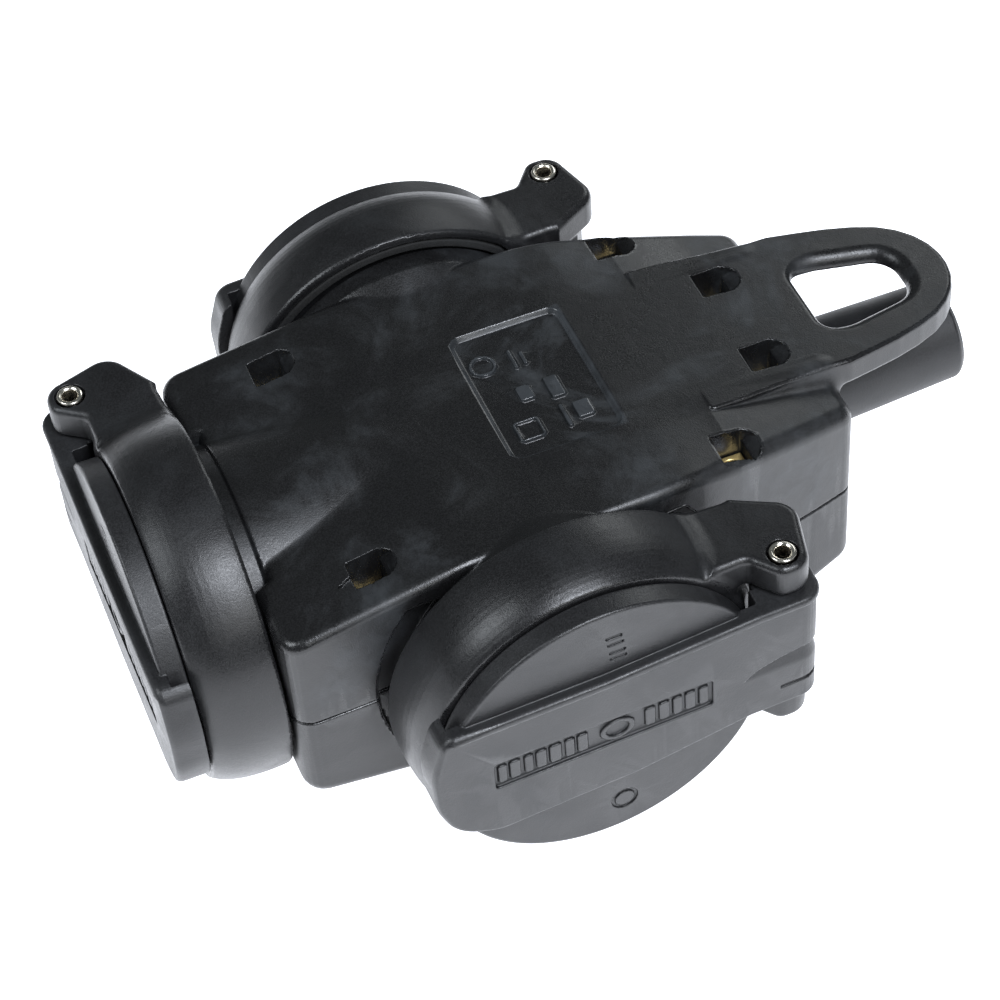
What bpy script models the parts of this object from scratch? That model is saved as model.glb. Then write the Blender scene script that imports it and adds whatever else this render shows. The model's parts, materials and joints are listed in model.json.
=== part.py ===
# Three-way portable power distribution box (splash-proof cable coupler).
# Frame: origin at the middle of the overall length, width and height; +X
# towards the cable sleeve and hanging eye, +Y to the far socket, +Z up.
# Sizes are in millimetres and the mesh helpers turn them into metres.
# The pieces are modelled about the point on the parting plane where the two
# side socket axes cross the centre line, and moved to the frame at the end.
# Cutters run on past the part they cut; their outer limits (20 to 110) are free.
import math
import bpy
import bmesh
from mathutils import Matrix, Vector

MM = 0.001

# ---- driving dimensions ---------------------------------------------------
CENTRE_X = 11.85          # from the crossing of the socket axes to mid length
WALL = 2.6
GAP = 0.3                 # running gap between neighbouring parts
PART_GAP = 0.15           # half of the gap between the two shells
SEG = 28                  # default segments round a cylinder

TOP_Z = 23.9              # height of the flat middle of the roof
TOP_FRONT_X = -12.7       # the roof slopes down ahead of this line
TOP_FRONT_SLOPE = 0.172
TOP_REAR_X = 20.8
TOP_REAR_SLOPE = 0.05
BOT_REAR_X = 25.0
BOT_REAR_SLOPE = 0.20     # underside rises more towards the cable end

SIDE_SPLAY = 1.46         # degrees, side sockets lean to the cable end
FRONT_SHIFT = 9.2         # front socket's local origin lies this far ahead

PIN_X, PIN_OUT = 31.8, 48.2    # hinge pin in the socket's local x and y
PIN_TOP, PIN_BOT = 21.5, -15.8
EAR_T = 6.3
KNUCKLE_TOP, KNUCKLE_BOT = 14.9, -9.2
KNUCKLE_MID = (KNUCKLE_TOP + KNUCKLE_BOT) / 2
KNUCKLE_R = 5.4
RIVET_R, RIVET_HOLE_R = 2.05, 1.05

WELL_R = 19.6             # plug well
WELL_DEPTH = 17.5
INSERT_R = 22.3
INSERT_FACE = 46.0
PIN_PITCH = 19.0
BORE_R = 22.75            # bore of neck and collar round the insert
NECK_R = {"near": 25.7, "far": 25.7, "front": 24.0}
NECK_END = 35.6

COLLAR_REAR, COLLAR_FACE = 34.2, 47.6
COLLAR_R = 29.6
LID_BACK, LID_FACE, LID_R = 47.9, 51.7, 27.1
STRAP_FACE, STRAP_HALF, STRAP_END_R = 53.7, 13.4, 29.3

# shell screws: x, distance from the centre line, height of the nut seat
SCREW_STATIONS = [(-25.96, 23.54, 11.4), (35.12, 24.90, 15.2), (47.55, 9.34, 12.6)]
SCREWS = [(x, side * y, seat) for x, y, seat in SCREW_STATIONS for side in (-1, 1)]
POCKET_W = 5.6
POST_R = 3.6
NUT_W, NUT_T = 5.2, 2.2
SCREW_R, SCREW_HEAD_R = 1.45, 2.9

# colour, roughness and metallic value of each look
LOOKS = {
    "shell": dict(colour=(0.012, 0.012, 0.013), roughness=0.5),
    "collar": dict(colour=(0.013, 0.013, 0.014), roughness=0.45),
    "lid": dict(colour=(0.016, 0.016, 0.017), roughness=0.5),
    "insert": dict(colour=(0.02, 0.02, 0.022), roughness=0.4),
    "rubber": dict(colour=(0.02, 0.02, 0.02), roughness=0.8),
    "brass": dict(colour=(0.65, 0.48, 0.2), roughness=0.35, metallic=1),
    "nickel": dict(colour=(0.75, 0.72, 0.66), roughness=0.25, metallic=1),
    "steel": dict(colour=(0.6, 0.6, 0.62), roughness=0.35, metallic=1),
    "sleeve": dict(colour=(0.015, 0.015, 0.016), roughness=0.55),
    "bakelite": dict(colour=(0.55, 0.53, 0.48), roughness=0.5),
}

# ---- scene ------------------------------------------------------------------
for old_object in list(bpy.data.objects):
    bpy.data.objects.remove(old_object, do_unlink=True)
parts = bpy.data.collections.new("portable_power_distribution_box")
bpy.context.scene.collection.children.link(parts)


def make_material(name, colour, roughness, metallic=0.0):
    made = bpy.data.materials.new(name)
    made.use_nodes = True
    inputs = made.node_tree.nodes["Principled BSDF"].inputs
    inputs["Base Color"].default_value = (*colour, 1)
    inputs["Roughness"].default_value = roughness
    inputs["Metallic"].default_value = metallic
    return made


# ---- mesh helpers -------------------------------------------------------------
def add_object(data):
    added = bpy.data.objects.new("part", data)
    bpy.context.scene.collection.objects.link(added)
    return added


def object_from(work):
    mesh = bpy.data.meshes.new("part")
    work.to_mesh(mesh)
    work.free()
    return add_object(mesh)


def solid_from(work):
    bmesh.ops.recalc_face_normals(work, faces=work.faces[:])
    return object_from(work)


def prism(outline, start, end, along="Z"):
    """Flat outline pulled from start to end; its points hold the other two axes in order."""
    axis = "XYZ".index(along)
    work = bmesh.new()
    corners = [(*point[:axis], start, *point[axis:]) for point in outline]
    face = work.faces.new([work.verts.new([c * MM for c in corner]) for corner in corners])
    pulled = bmesh.ops.extrude_face_region(work, geom=[face])["geom"]
    shift = Vector((0, 0, 0))
    shift[axis] = (end - start) * MM
    verts = [item for item in pulled if isinstance(item, bmesh.types.BMVert)]
    bmesh.ops.translate(work, verts=verts, vec=shift)
    return solid_from(work)


def box(low, high):
    work = bmesh.new()
    bmesh.ops.create_cube(work, size=1.0)
    for vert in work.verts:
        vert.co = Vector([(low[i] + (high[i] - low[i]) * (vert.co[i] + 0.5)) * MM
                          for i in range(3)])
    return solid_from(work)


def cyl(radius, z0, z1, seg=SEG, at=(0, 0), top_radius=None):
    work = bmesh.new()
    end_radius = radius if top_radius is None else top_radius
    bmesh.ops.create_cone(work, cap_ends=True, segments=seg, radius1=radius * MM,
                          radius2=end_radius * MM, depth=(z1 - z0) * MM)
    bmesh.ops.translate(work, verts=work.verts[:],
                        vec=(at[0] * MM, at[1] * MM, (z0 + z1) / 2 * MM))
    return solid_from(work)


def weld(mesh, distance):
    work = bmesh.new()
    work.from_mesh(mesh)
    bmesh.ops.remove_doubles(work, verts=work.verts[:], dist=distance)
    bmesh.ops.recalc_face_normals(work, faces=work.faces[:])
    work.to_mesh(mesh)
    work.free()


def turned(profile, seg=SEG):
    """Closed profile of (radius, height) turned about Z with a Screw modifier."""
    work = bmesh.new()
    verts = [work.verts.new((r * MM, 0, z * MM)) for r, z in profile]
    for i, vert in enumerate(verts):
        work.edges.new((vert, verts[(i + 1) % len(verts)]))
    solid = object_from(work)
    screw = solid.modifiers.new("turn", "SCREW")
    screw.steps = screw.render_steps = seg
    screw.use_merge_vertices = True
    screw.merge_threshold = 0.00001
    screw.use_normal_calculate = True
    bake(solid)
    weld(solid.data, 0.000005)
    return solid


def evaluated_mesh(source):
    depsgraph = bpy.context.evaluated_depsgraph_get()
    return bpy.data.meshes.new_from_object(source.evaluated_get(depsgraph))


def bake(solid):
    mesh = evaluated_mesh(solid)
    old = solid.data
    solid.modifiers.clear()
    solid.data = mesh
    if old.users == 0:
        bpy.data.meshes.remove(old)


def boolean(solid, tools, operation):
    for tool in tools:
        modifier = solid.modifiers.new("boolean", "BOOLEAN")
        modifier.operation = operation
        modifier.object = tool
        modifier.solver = "EXACT"
        bake(solid)
        bpy.data.objects.remove(tool, do_unlink=True)
    return solid


def cut(solid, *tools):
    return boolean(solid, tools, "DIFFERENCE")


def join(solid, *tools):
    return boolean(solid, tools, "UNION")


def keep(solid, *tools):
    return boolean(solid, tools, "INTERSECT")


def tidy(solid):
    """Weld, merge flat faces and triangulate."""
    weld_distance = 0.000002
    work = bmesh.new()
    work.from_mesh(solid.data)
    bmesh.ops.remove_doubles(work, verts=work.verts[:], dist=weld_distance)
    bmesh.ops.dissolve_degenerate(work, dist=weld_distance, edges=work.edges[:])
    bmesh.ops.dissolve_limit(work, angle_limit=math.radians(0.4),
                             use_dissolve_boundaries=False,
                             verts=work.verts[:], edges=work.edges[:])
    bmesh.ops.triangulate(work, faces=work.faces[:])
    work.to_mesh(solid.data)
    work.free()


def bevel(solid, width):
    """One-step chamfer on every edge sharper than 40 degrees."""
    tidy(solid)
    modifier = solid.modifiers.new("bevel", "BEVEL")
    modifier.width = width * MM
    modifier.segments = 1
    modifier.limit_method = "ANGLE"
    modifier.angle_limit = math.radians(40)
    modifier.use_clamp_overlap = True
    bake(solid)


def move(solid, x, y, z):
    solid.data.transform(Matrix.Translation((x * MM, y * MM, z * MM)))
    return solid


Z_TO_X = Matrix.Rotation(math.radians(90), 4, "Y")


def cyl_x(radius, x0, x1, seg, y, z):
    solid = cyl(radius, x0, x1, seg)
    solid.data.transform(Z_TO_X)
    return move(solid, 0, y, z)


def span(side, inner, outer):
    """The two distances on one side of the centre, lowest first."""
    return sorted((side * inner, side * outer))


def rounded(points, radii, steps):
    """Outline with its corners turned into arcs."""
    rounded_points = []
    for i, (point, radius) in enumerate(zip(points, radii)):
        corner = Vector(point)
        if radius <= 0:
            rounded_points.append((corner.x, corner.y))
            continue
        back = Vector(points[i - 1]) - corner
        ahead = Vector(points[(i + 1) % len(points)]) - corner
        back_length, ahead_length = back.length, ahead.length
        back.normalize()
        ahead.normalize()
        half_angle = back.angle(ahead) / 2
        setback = min(radius / math.tan(half_angle), back_length * 0.49, ahead_length * 0.49)
        radius = setback * math.tan(half_angle)
        centre = corner + (back + ahead).normalized() * (radius / math.sin(half_angle))
        start = corner + back * setback - centre
        end = corner + ahead * setback - centre
        start_angle = math.atan2(start.y, start.x)
        end_angle = math.atan2(end.y, end.x)
        sweep = (end_angle - start_angle + math.pi) % (2 * math.pi) - math.pi
        for j in range(steps + 1):
            angle = start_angle + sweep * j / steps
            rounded_points.append((centre.x + radius * math.cos(angle),
                                   centre.y + radius * math.sin(angle)))
    return rounded_points


def finish(solid, name, look, smooth=True):
    """Name the piece, give it its own material and put it in the collection."""
    tidy(solid)
    solid.name = name
    solid.data.name = name
    for collection in list(solid.users_collection):
        collection.objects.unlink(solid)
    parts.objects.link(solid)
    solid.data.materials.clear()
    solid.data.materials.append(make_material(name, **LOOKS[look]))
    if smooth:
        solid.data.shade_smooth()
        solid.data.set_sharp_from_angle(angle=math.radians(32))
    return solid


# ---- socket placement ---------------------------------------------------------------
def socket_frame(which):
    """Matrix of a socket's local frame, and whether its parts must be mirrored in z."""
    splay = math.radians(SIDE_SPLAY)
    if which == "front":
        outward, hinge_side = Vector((-1, 0, 0)), Vector((0, 1, 0))
    else:
        side = -1 if which == "near" else 1
        outward = Vector((math.sin(splay), side * math.cos(splay), 0))
        hinge_side = Vector((math.cos(splay), -side * math.sin(splay), 0))
    third = hinge_side.cross(outward)
    matrix = Matrix((hinge_side, outward, third)).transposed().to_4x4()
    if which == "front":
        matrix.translation = Vector((-FRONT_SHIFT * MM, 0, 0))
    return matrix, third.z <= 0


FRAMES = {which: socket_frame(which) for which in ("near", "far", "front")}


def place(solid, which):
    """Local socket frame (x towards the hinge, y outwards, z up) to the box."""
    matrix, mirrored = FRAMES[which]
    if mirrored:
        solid.data.transform(Matrix.Diagonal((1, 1, -1, 1)))
        solid.data.flip_normals()
    solid.data.transform(matrix)
    return solid


def face_out(solid):
    """Turn a solid built about +Z so that its axis runs along local +Y."""
    solid.data.transform(Matrix(((1, 0, 0, 0), (0, 0, 1, 0), (0, -1, 0, 0), (0, 0, 0, 1))))
    return solid


def cyl_out(radius, y0, y1, seg=SEG, x=0):
    return face_out(cyl(radius, y0, y1, seg, (x, 0)))


def socket_cyl(which, radius, y0, y1, seg=SEG):
    return place(cyl_out(radius, y0, y1, seg), which)


# ---- body form --------------------------------------------------------------------
FRONT_X, FRONT_HALF = -43.05, 32.1
REAR_X, REAR_HALF = 57.7, 23.3
NOTCH_X = -40.6                             # floor of the notch in the front end
NOTCH_FLOOR_HALF, NOTCH_MOUTH_HALF = 16.6, 17.6
# side of the body between the two ends: x, half width
SIDE_LINE = [(-24, 31.7), (20, 30.8), (28, 30.0), (35, 28.9), (42, 27.3), (50, 25.4)]
CORNER_R, REAR_CORNER_R, NOTCH_EDGE_R = 3.6, 3.0, 0.8

# x stations of the roof and belly lines
ROOF_STATIONS = [-60, -46, -19, -15, -12, -9, -4, 18, 23, 30, 100]
BELLY_STATIONS = [-60, -46, -19, -15, -12, -9, -4, 20, 24, 28, 34, 100]

BRACKET_HALF = 15.9       # half width of the raised strip that runs into the eye
SHOULDER_X, SHOULDER_Z, SHOULDER_SLOPE = 21, 25.49, 0.185
SHOULDER_START_X, SHOULDER_END_X = 21.5, 60


def soft(distance):
    """Rounded-off version of max(distance, 0)."""
    return (distance + math.sqrt(distance * distance + 4.0)) / 2


def front_fall(x):
    return TOP_FRONT_SLOPE * soft(TOP_FRONT_X - x)


def roof(x):
    return TOP_Z - front_fall(x) - TOP_REAR_SLOPE * soft(x - TOP_REAR_X)


def belly(x):
    return -(TOP_Z - front_fall(x) - BOT_REAR_SLOPE * soft(x - BOT_REAR_X))


def shoulder(x):
    return SHOULDER_Z - SHOULDER_SLOPE * (x - SHOULDER_X)


def body_outline(inset=0.0):
    far_half = [(NOTCH_X + inset, NOTCH_FLOOR_HALF), (FRONT_X + inset, NOTCH_MOUTH_HALF),
                (FRONT_X + inset, FRONT_HALF - inset)]
    far_half += [(x, y - inset) for x, y in SIDE_LINE]
    far_half.append((REAR_X - inset, REAR_HALF - inset))
    near_half = [(x, -y) for x, y in far_half]
    radii = [0, NOTCH_EDGE_R, max(CORNER_R - inset, 1.0)] + [0] * len(SIDE_LINE)
    radii.append(REAR_CORNER_R)
    return rounded(near_half + far_half[::-1], radii + radii[::-1], 3)


def under_roof(inset=0):
    top = [(x, roof(x) - inset) for x in reversed(ROOF_STATIONS)]
    return prism([(-60, -40), (100, -40)] + top, -60, 60, "Y")


def over_belly(inset=0):
    bottom = [(x, belly(x) + inset) for x in BELLY_STATIONS]
    return prism(bottom + [(100, 40), (-60, 40)], -60, 60, "Y")


def above_shoulder(side, inner_y, start_z, end_z):
    outline = [(SHOULDER_START_X, 40), (SHOULDER_START_X, start_z),
               (SHOULDER_END_X, end_z), (SHOULDER_END_X, 40)]
    return prism(outline, *span(side, inner_y, 40), "Y")


# ---- cable sleeve --------------------------------------------------------------------
SLEEVE_X, SLEEVE_Z = 51.6, 2.4
SLEEVE_TILT = 1.6         # degrees up
CABLE_WAY_R = 8.0
# tapered tube with a grooved flange held by the shells: radius, length along the sleeve
SLEEVE_PROFILE = [(4.4, 34.8), (7.6, 34.8), (8.3, 34.5), (8.6, 33.8), (9.4, 6.75),
                  (7.6, 6.75), (7.6, 2.7), (10.4, 2.7), (10.4, 0.6), (4.4, 0.6)]


def place_sleeve(solid):
    """Turned about +Z, laid along +X with a slight lift to the rear."""
    solid.data.transform(Matrix.Translation((SLEEVE_X * MM, 0, SLEEVE_Z * MM))
                         @ Matrix.Rotation(math.radians(-SLEEVE_TILT), 4, "Y") @ Z_TO_X)
    return solid


# ---- shells ---------------------------------------------------------------------------
SHOULDER_WALL = 2.7
SIDE_WALL_START, FRONT_WALL_START = 28.4, 29.4   # solid walls behind the necks
HEAD_SEAT_Z = -11.0
LABEL_X0, LABEL_X1, LABEL_HALF = 2.1, 21.6, 14.5
LABEL_CORNER_R, LABEL_DEPTH = 2.2, 0.75

# eye at the rear of the upper shell, tapered to a rounded end: x, half width
EYE_HALF = [(53.5, 12.0), (57.7, 15.8), (60.5, 16.1), (65.7, 15.1), (70.1, 14.2), (74.6, 12.9),
            (78.5, 11.3), (81.3, 9.3), (83.5, 6.8), (84.9, 4.0), (85.5, 1.2)]
EYE_T = 5.6
# slot through the eye: x, y
EYE_SLOT = rounded([(59.3, -7.6), (65.0, -7.5), (77.9, -4.9),
                    (77.9, 4.9), (65.0, 7.5), (59.3, 7.6)], [4, 5, 4.6, 4.6, 5, 4], 2)


def shell_solid(upper):
    body = prism(body_outline(), -32, 32)
    keep(body, under_roof() if upper else over_belly())
    if upper:
        # shoulders either side of the hanging bracket drop below it
        for side in (-1, 1):
            cut(body, above_shoulder(side, BRACKET_HALF, shoulder(SHOULDER_START_X),
                                     shoulder(SHOULDER_END_X)))
    for which in ("near", "far"):
        cut(body, socket_cyl(which, COLLAR_R + GAP, 29.6, 60))
    bevel(body, 1.3 if upper else 1.8)
    for which, neck_start in (("near", 28.7), ("far", 28.7), ("front", 4)):
        join(body, socket_cyl(which, NECK_R[which], neck_start, NECK_END))
    return body


def shell_hollow(upper):
    hollow = prism(body_outline(WALL), -32, 32)
    keep(hollow, under_roof(WALL) if upper else over_belly(WALL))
    if upper:
        for side in (-1, 1):
            cut(hollow, above_shoulder(side, BRACKET_HALF - 2.4, SHOULDER_Z - SHOULDER_WALL,
                                       shoulder(SHOULDER_END_X) - SHOULDER_WALL))
    for which in FRAMES:
        # solid end walls carry the necks
        wall_start = FRONT_WALL_START if which == "front" else SIDE_WALL_START
        cut(hollow, socket_cyl(which, 60, wall_start, 70, 24))
    for x, y, _ in SCREWS:
        cut(hollow, cyl(POST_R, -40, 40, 12, (x, y)))
    for which in FRAMES:
        join(hollow, socket_cyl(which, BORE_R, 23.0, 40))
    return hollow


def eye_solid():
    eye = prism([(x, -y) for x, y in EYE_HALF] + EYE_HALF[::-1], 0, 32)
    keep(eye, under_roof())
    # room below the eye, stepping down where it meets the body: x, z
    root_z = roof(57) - 9.0
    under = [(40, -10), (100, -10), (100, roof(100) - EYE_T), (62, roof(62) - EYE_T),
             (59, roof(58) - EYE_T - 1.2), (57.6, roof(57) - EYE_T - 3.0),
             (56.0, root_z), (40, root_z)]
    cut(eye, prism(under, -60, 60, "Y"))
    bevel(eye, 0.9)
    return cut(eye, prism(EYE_SLOT, 0, 32))


def cut_nut_pockets(shell):
    half = POCKET_W / 2
    for x, y, seat in SCREWS:
        cut(shell, box((x - half, y - half, seat), (x + half, y + half, 40)))
        # lead-in facet on the cable side of the pocket
        facet = [(x + half - 0.5, roof(x) - 2.6), (x + half + 1.6, roof(x) + 1.0),
                 (x + half - 0.5, roof(x) + 1.0)]
        cut(shell, prism(facet, y - half, y + half, "Y"))
        cut(shell, cyl(SCREW_R + GAP, -1, seat + 1, 10, (x, y)))


def cut_label_recess(shell):
    corners = [(LABEL_X0, -LABEL_HALF), (LABEL_X1, -LABEL_HALF),
               (LABEL_X1, LABEL_HALF), (LABEL_X0, LABEL_HALF)]
    cut(shell, prism(rounded(corners, [LABEL_CORNER_R] * 4, 4), TOP_Z - LABEL_DEPTH, 40))


def cut_screw_holes(shell):
    for x, y, _ in SCREWS:
        cut(shell, cyl(SCREW_R + GAP, -60, 1, 10, (x, y)))
        cut(shell, cyl(SCREW_HEAD_R + GAP, -60, HEAD_SEAT_Z, 14, (x, y)))


def build_shell(upper):
    shell = shell_solid(upper)
    if upper:
        join(shell, eye_solid())
    cut(shell, shell_hollow(upper))
    # the shells stop short of each other at the parting plane
    if upper:
        cut(shell, box((-80, -60, -60), (110, 60, PART_GAP)))
    else:
        cut(shell, box((-80, -60, -PART_GAP), (110, 60, 60)))
    cut(shell, place_sleeve(cyl(CABLE_WAY_R, 0, 20, 24)))
    if upper:
        cut_nut_pockets(shell)
        cut_label_recess(shell)
    else:
        cut_screw_holes(shell)
    return shell


# ---- collar, lid and hinge (local socket frame) ---------------------------------------
# radius, distance outwards
COLLAR_PROFILE = [(28.3, COLLAR_REAR), (COLLAR_R, COLLAR_REAR), (30.1, 38.0), (29.8, 42.6),
                  (28.6, 46.0), (27.3, COLLAR_FACE), (BORE_R, COLLAR_FACE), (BORE_R, 35.95),
                  (28.3, 35.95)]
LID_PROFILE = [(0.0, LID_FACE), (LID_R - 0.6, LID_FACE), (LID_R, LID_FACE - 0.6),
               (LID_R, LID_BACK), (24.4, LID_BACK), (24.0, 49.6), (18.6, 49.6),
               (18.2, LID_BACK), (0.0, LID_BACK)]
GASKET_PROFILE = [(18.9, 49.3), (18.9, 48.1), (20.2, 46.4), (21.8, 46.4), (22.3, 47.8),
                  (23.7, 48.1), (23.7, 49.3)]
# radius, height along the hinge pin
RIVET_PROFILE = [(RIVET_R, PIN_BOT + 0.6), (2.45, PIN_BOT + 0.5), (2.2, PIN_BOT + 0.1),
                 (RIVET_HOLE_R, PIN_BOT + 0.3), (RIVET_HOLE_R, PIN_TOP - 0.3),
                 (2.2, PIN_TOP - 0.1), (2.45, PIN_TOP - 0.5), (RIVET_R, PIN_TOP - 0.6)]
# hinge ear: x, distance outwards
EAR = rounded([(20, 47.2), (26.4, 47.1), (29.2, 52.0), (35.7, 52.0), (38.5, 42.3), (34.6, 37.4),
               (27.0, 34.7), (20, 34.2)], [0, 2.0, 4.4, 3.6, 3.6, 6.0, 0, 0], 2)
COUNTERSINK_R, COUNTERSINK_DEPTH = 2.75, 0.9
BRIDGE_X = 24.4           # where the bridge from lid to knuckle starts
NECK_RING_R = 28.0

SPRING_R, SPRING_WIRE = 3.25, 0.9
SPRING_PITCH, SPRING_TURNS = 1.15, 5.75
SPRING_STEPS = 8          # points per turn
SPRING_START_Z = KNUCKLE_MID - 3.3
SPRING_LEGS = 1.0, 1.8


def hinge_cyl(radius, z0, z1, seg):
    return cyl(radius, z0, z1, seg, (PIN_X, PIN_OUT))


def pin_hole():
    return hinge_cyl(RIVET_R + GAP, -30, 30, 16)


def build_collar():
    collar = face_out(turned(COLLAR_PROFILE))
    for z0, z1 in ((PIN_TOP - EAR_T, PIN_TOP), (PIN_BOT, PIN_BOT + EAR_T)):
        ear = prism(EAR, z0, z1)
        cut(ear, cyl_out(28.8, 30, 55, 60))
        join(collar, ear)
    # room for the lid knuckle and the spring between the ears
    cut(collar, hinge_cyl(KNUCKLE_R + 0.45, PIN_BOT + EAR_T - 0.05, PIN_TOP - EAR_T + 0.05, 24))
    cut(collar, pin_hole())
    for z0, z1 in ((PIN_TOP - COUNTERSINK_DEPTH, PIN_TOP + 5),
                   (PIN_BOT - 5, PIN_BOT + COUNTERSINK_DEPTH)):
        cut(collar, hinge_cyl(COUNTERSINK_R, z0, z1, 16))
    return collar


def lid_strap():
    """Raised strap across the lid, wrapped over its free edge."""
    strap = cyl_out(STRAP_END_R, LID_BACK, STRAP_FACE)
    # x, z
    band = [(-40, STRAP_HALF), (0, STRAP_HALF), (25, KNUCKLE_TOP - 0.4), (60, KNUCKLE_TOP - 0.4),
            (60, KNUCKLE_BOT + 0.4), (24, KNUCKLE_BOT + 0.4), (4, -STRAP_HALF + 1.2),
            (-40, -STRAP_HALF)]
    keep(strap, prism(band, 40, 60, "Y"))
    return cut(strap, box((-26.0, 40, -20), (26.0, LID_FACE - 1.0, 20)))


def lid_bridge():
    """Block that carries the lid across to the knuckle."""
    knuckle_edge = PIN_X + KNUCKLE_R
    corners = [(BRIDGE_X, LID_BACK), (PIN_X, LID_BACK), (knuckle_edge, PIN_OUT),
               (knuckle_edge, STRAP_FACE), (BRIDGE_X, STRAP_FACE)]
    return prism(rounded(corners, [0, 0, 0, 3.4, 0], 5), KNUCKLE_BOT, KNUCKLE_TOP)


def cut_spring_openings(lid):
    """Spring slot from behind, and its lens-shaped window in the strap."""
    mid = KNUCKLE_MID
    cut(lid, box((PIN_X - 6.2, 40, mid - 4.2), (PIN_X + 12, STRAP_FACE - 1.7, mid + 4.2)))
    # x, z
    lens = rounded([(23.6, mid - 0.2), (33.0, mid - 1.5), (45.0, mid - 1.5),
                    (45.0, mid + 2.2), (33.0, mid + 1.6)], [0.5, 1, 0, 0, 2], 3)
    cut(lid, prism(lens, STRAP_FACE - 1.0, 60, "Y"))
    cut(lid, box((30.5, 40, mid - 1.3), (45, 60, mid + 1.8)))
    # narrow groove across the outside of the knuckle
    cut(lid, box((PIN_X - 1.6, STRAP_FACE - 1.2, KNUCKLE_BOT + 4.0), (45, 60, KNUCKLE_BOT + 5.0)))


def build_lid():
    lid = face_out(turned(LID_PROFILE))
    join(lid, lid_strap())
    join(lid, hinge_cyl(KNUCKLE_R, KNUCKLE_BOT, KNUCKLE_TOP, 24))
    join(lid, lid_bridge())
    cut_spring_openings(lid)
    cut(lid, pin_hole())
    # plain long recess in the strap and a small round mark on the face
    cut(lid, box((-19.8, STRAP_FACE - 0.6, -2.4), (17.3, 60, 3.6)))
    cut(lid, face_out(cyl(1.9, LID_FACE - 0.5, 60, 10, (2.6, 19.6))))
    return lid


def build_neck_ring(neck_radius):
    inner = neck_radius + GAP
    return face_out(turned([(NECK_RING_R, 35.65), (NECK_RING_R - 0.3, 34.6),
                            (inner + 0.2, 34.6), (inner, 35.65)], 32))


def build_spring():
    """Torsion spring round the hinge pin, with two short straight legs."""
    points = []
    for i in range(int(SPRING_TURNS * SPRING_STEPS) + 1):
        angle = 2 * math.pi * i / SPRING_STEPS
        points.append(Vector((SPRING_R * math.cos(angle), SPRING_R * math.sin(angle),
                              SPRING_START_Z + SPRING_PITCH * i / SPRING_STEPS)))
    end_angle = 2 * math.pi * SPRING_TURNS
    first_leg = Vector((0, -1, 0)) * SPRING_LEGS[0]
    last_leg = Vector((-math.sin(end_angle), math.cos(end_angle), 0)) * SPRING_LEGS[1]
    points = [points[0] + first_leg] + points + [points[-1] + last_leg]
    curve = bpy.data.curves.new("spring", "CURVE")
    curve.dimensions = "3D"
    curve.bevel_depth = SPRING_WIRE / 2 * MM
    curve.bevel_resolution = 0
    curve.use_fill_caps = True
    spline = curve.splines.new("POLY")
    spline.points.add(len(points) - 1)
    for target, point in zip(spline.points, points):
        target.co = (point.x * MM, point.y * MM, point.z * MM, 1)
    wire = add_object(curve)
    bpy.context.view_layer.update()
    spring = add_object(evaluated_mesh(wire))
    bpy.data.objects.remove(wire, do_unlink=True)
    weld(spring.data, 0.00001)
    return move(spring, PIN_X, PIN_OUT, 0)


# ---- insert and contacts (local socket frame) -----------------------------------------
INSERT_REAR = 25.6
# earth clip bent round the back of the insert: distance outwards, z
EARTH_CLIP = [(43.6, 18.3), (41.9, 19.2), (24.9, 19.3), (24.9, -19.3), (41.9, -19.2),
              (43.6, -18.3), (44.1, -19.2), (42.2, -20.4), (23.6, -20.4), (23.6, 20.4),
              (42.2, 20.4), (44.1, 19.2)]
EARTH_CLIP_HALF = 3.4


def build_insert():
    floor = INSERT_FACE - WELL_DEPTH
    insert = face_out(turned([(WELL_R, INSERT_FACE), (INSERT_R, INSERT_FACE),
                              (INSERT_R, INSERT_REAR), (0.0, INSERT_REAR),
                              (0.0, floor), (WELL_R, floor)]))
    for side in (-1, 1):
        # grooves for the plug's guide ribs, and the two pin holes
        x0, x1 = span(side, 18.5, 20.9)
        cut(insert, box((x0, floor + 1.0, -2.6), (x1, 60, 2.6)))
        cut(insert, cyl_out(2.8, 20, 40, 12, side * PIN_PITCH / 2))
    for side in (-1, 1):
        # slots the earth clip runs through
        z0, z1 = span(side, 17.6, 20.7)
        cut(insert, box((-3.9, 20, z0), (3.9, 44.6, z1)))
    return insert


def build_contact(side):
    """Split tube on a lug."""
    x = side * PIN_PITCH / 2
    contact = cyl_out(3.3, 15.0, 25.2, 12, x)
    join(contact, box((x - 3.0, 12.6, -4.2), (x + 3.0, 16.4, 4.2)))
    cut(contact, cyl_out(2.4, 17.2, 30, 12, x))
    return cut(contact, box((x - 0.4, 18.2, -5), (x + 0.4, 30, 5)))


def build_socket(which):
    pieces = [
        ("collar", build_collar(), "collar"),
        ("lid", build_lid(), "lid"),
        ("lid_gasket", face_out(turned(GASKET_PROFILE, 24)), "rubber"),
        ("neck_ring", build_neck_ring(NECK_R[which]), "rubber"),
        ("socket_insert", build_insert(), "insert"),
        ("earth_clip", prism(EARTH_CLIP, -EARTH_CLIP_HALF, EARTH_CLIP_HALF, "X"), "brass"),
        ("live_contact", build_contact(1), "brass"),
        ("neutral_contact", build_contact(-1), "brass"),
        ("hinge_rivet", move(turned(RIVET_PROFILE, 12), PIN_X, PIN_OUT, 0), "nickel"),
        ("lid_spring", build_spring(), "steel"),
    ]
    hinge = FRAMES[which][0] @ Vector((PIN_X * MM, PIN_OUT * MM, 0))
    for label, solid, look in pieces:
        finish(place(solid, which), f"{which}_{label}", look, smooth=label != "earth_clip")
        if label in ("lid", "lid_gasket"):
            # the origin sits on the hinge, so the lid can be swung open
            solid.data.transform(Matrix.Translation(-hinge))
            solid.location = hinge


# ---- inside the box --------------------------------------------------------------------------
BAR_X = PIN_PITCH / 2
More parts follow.
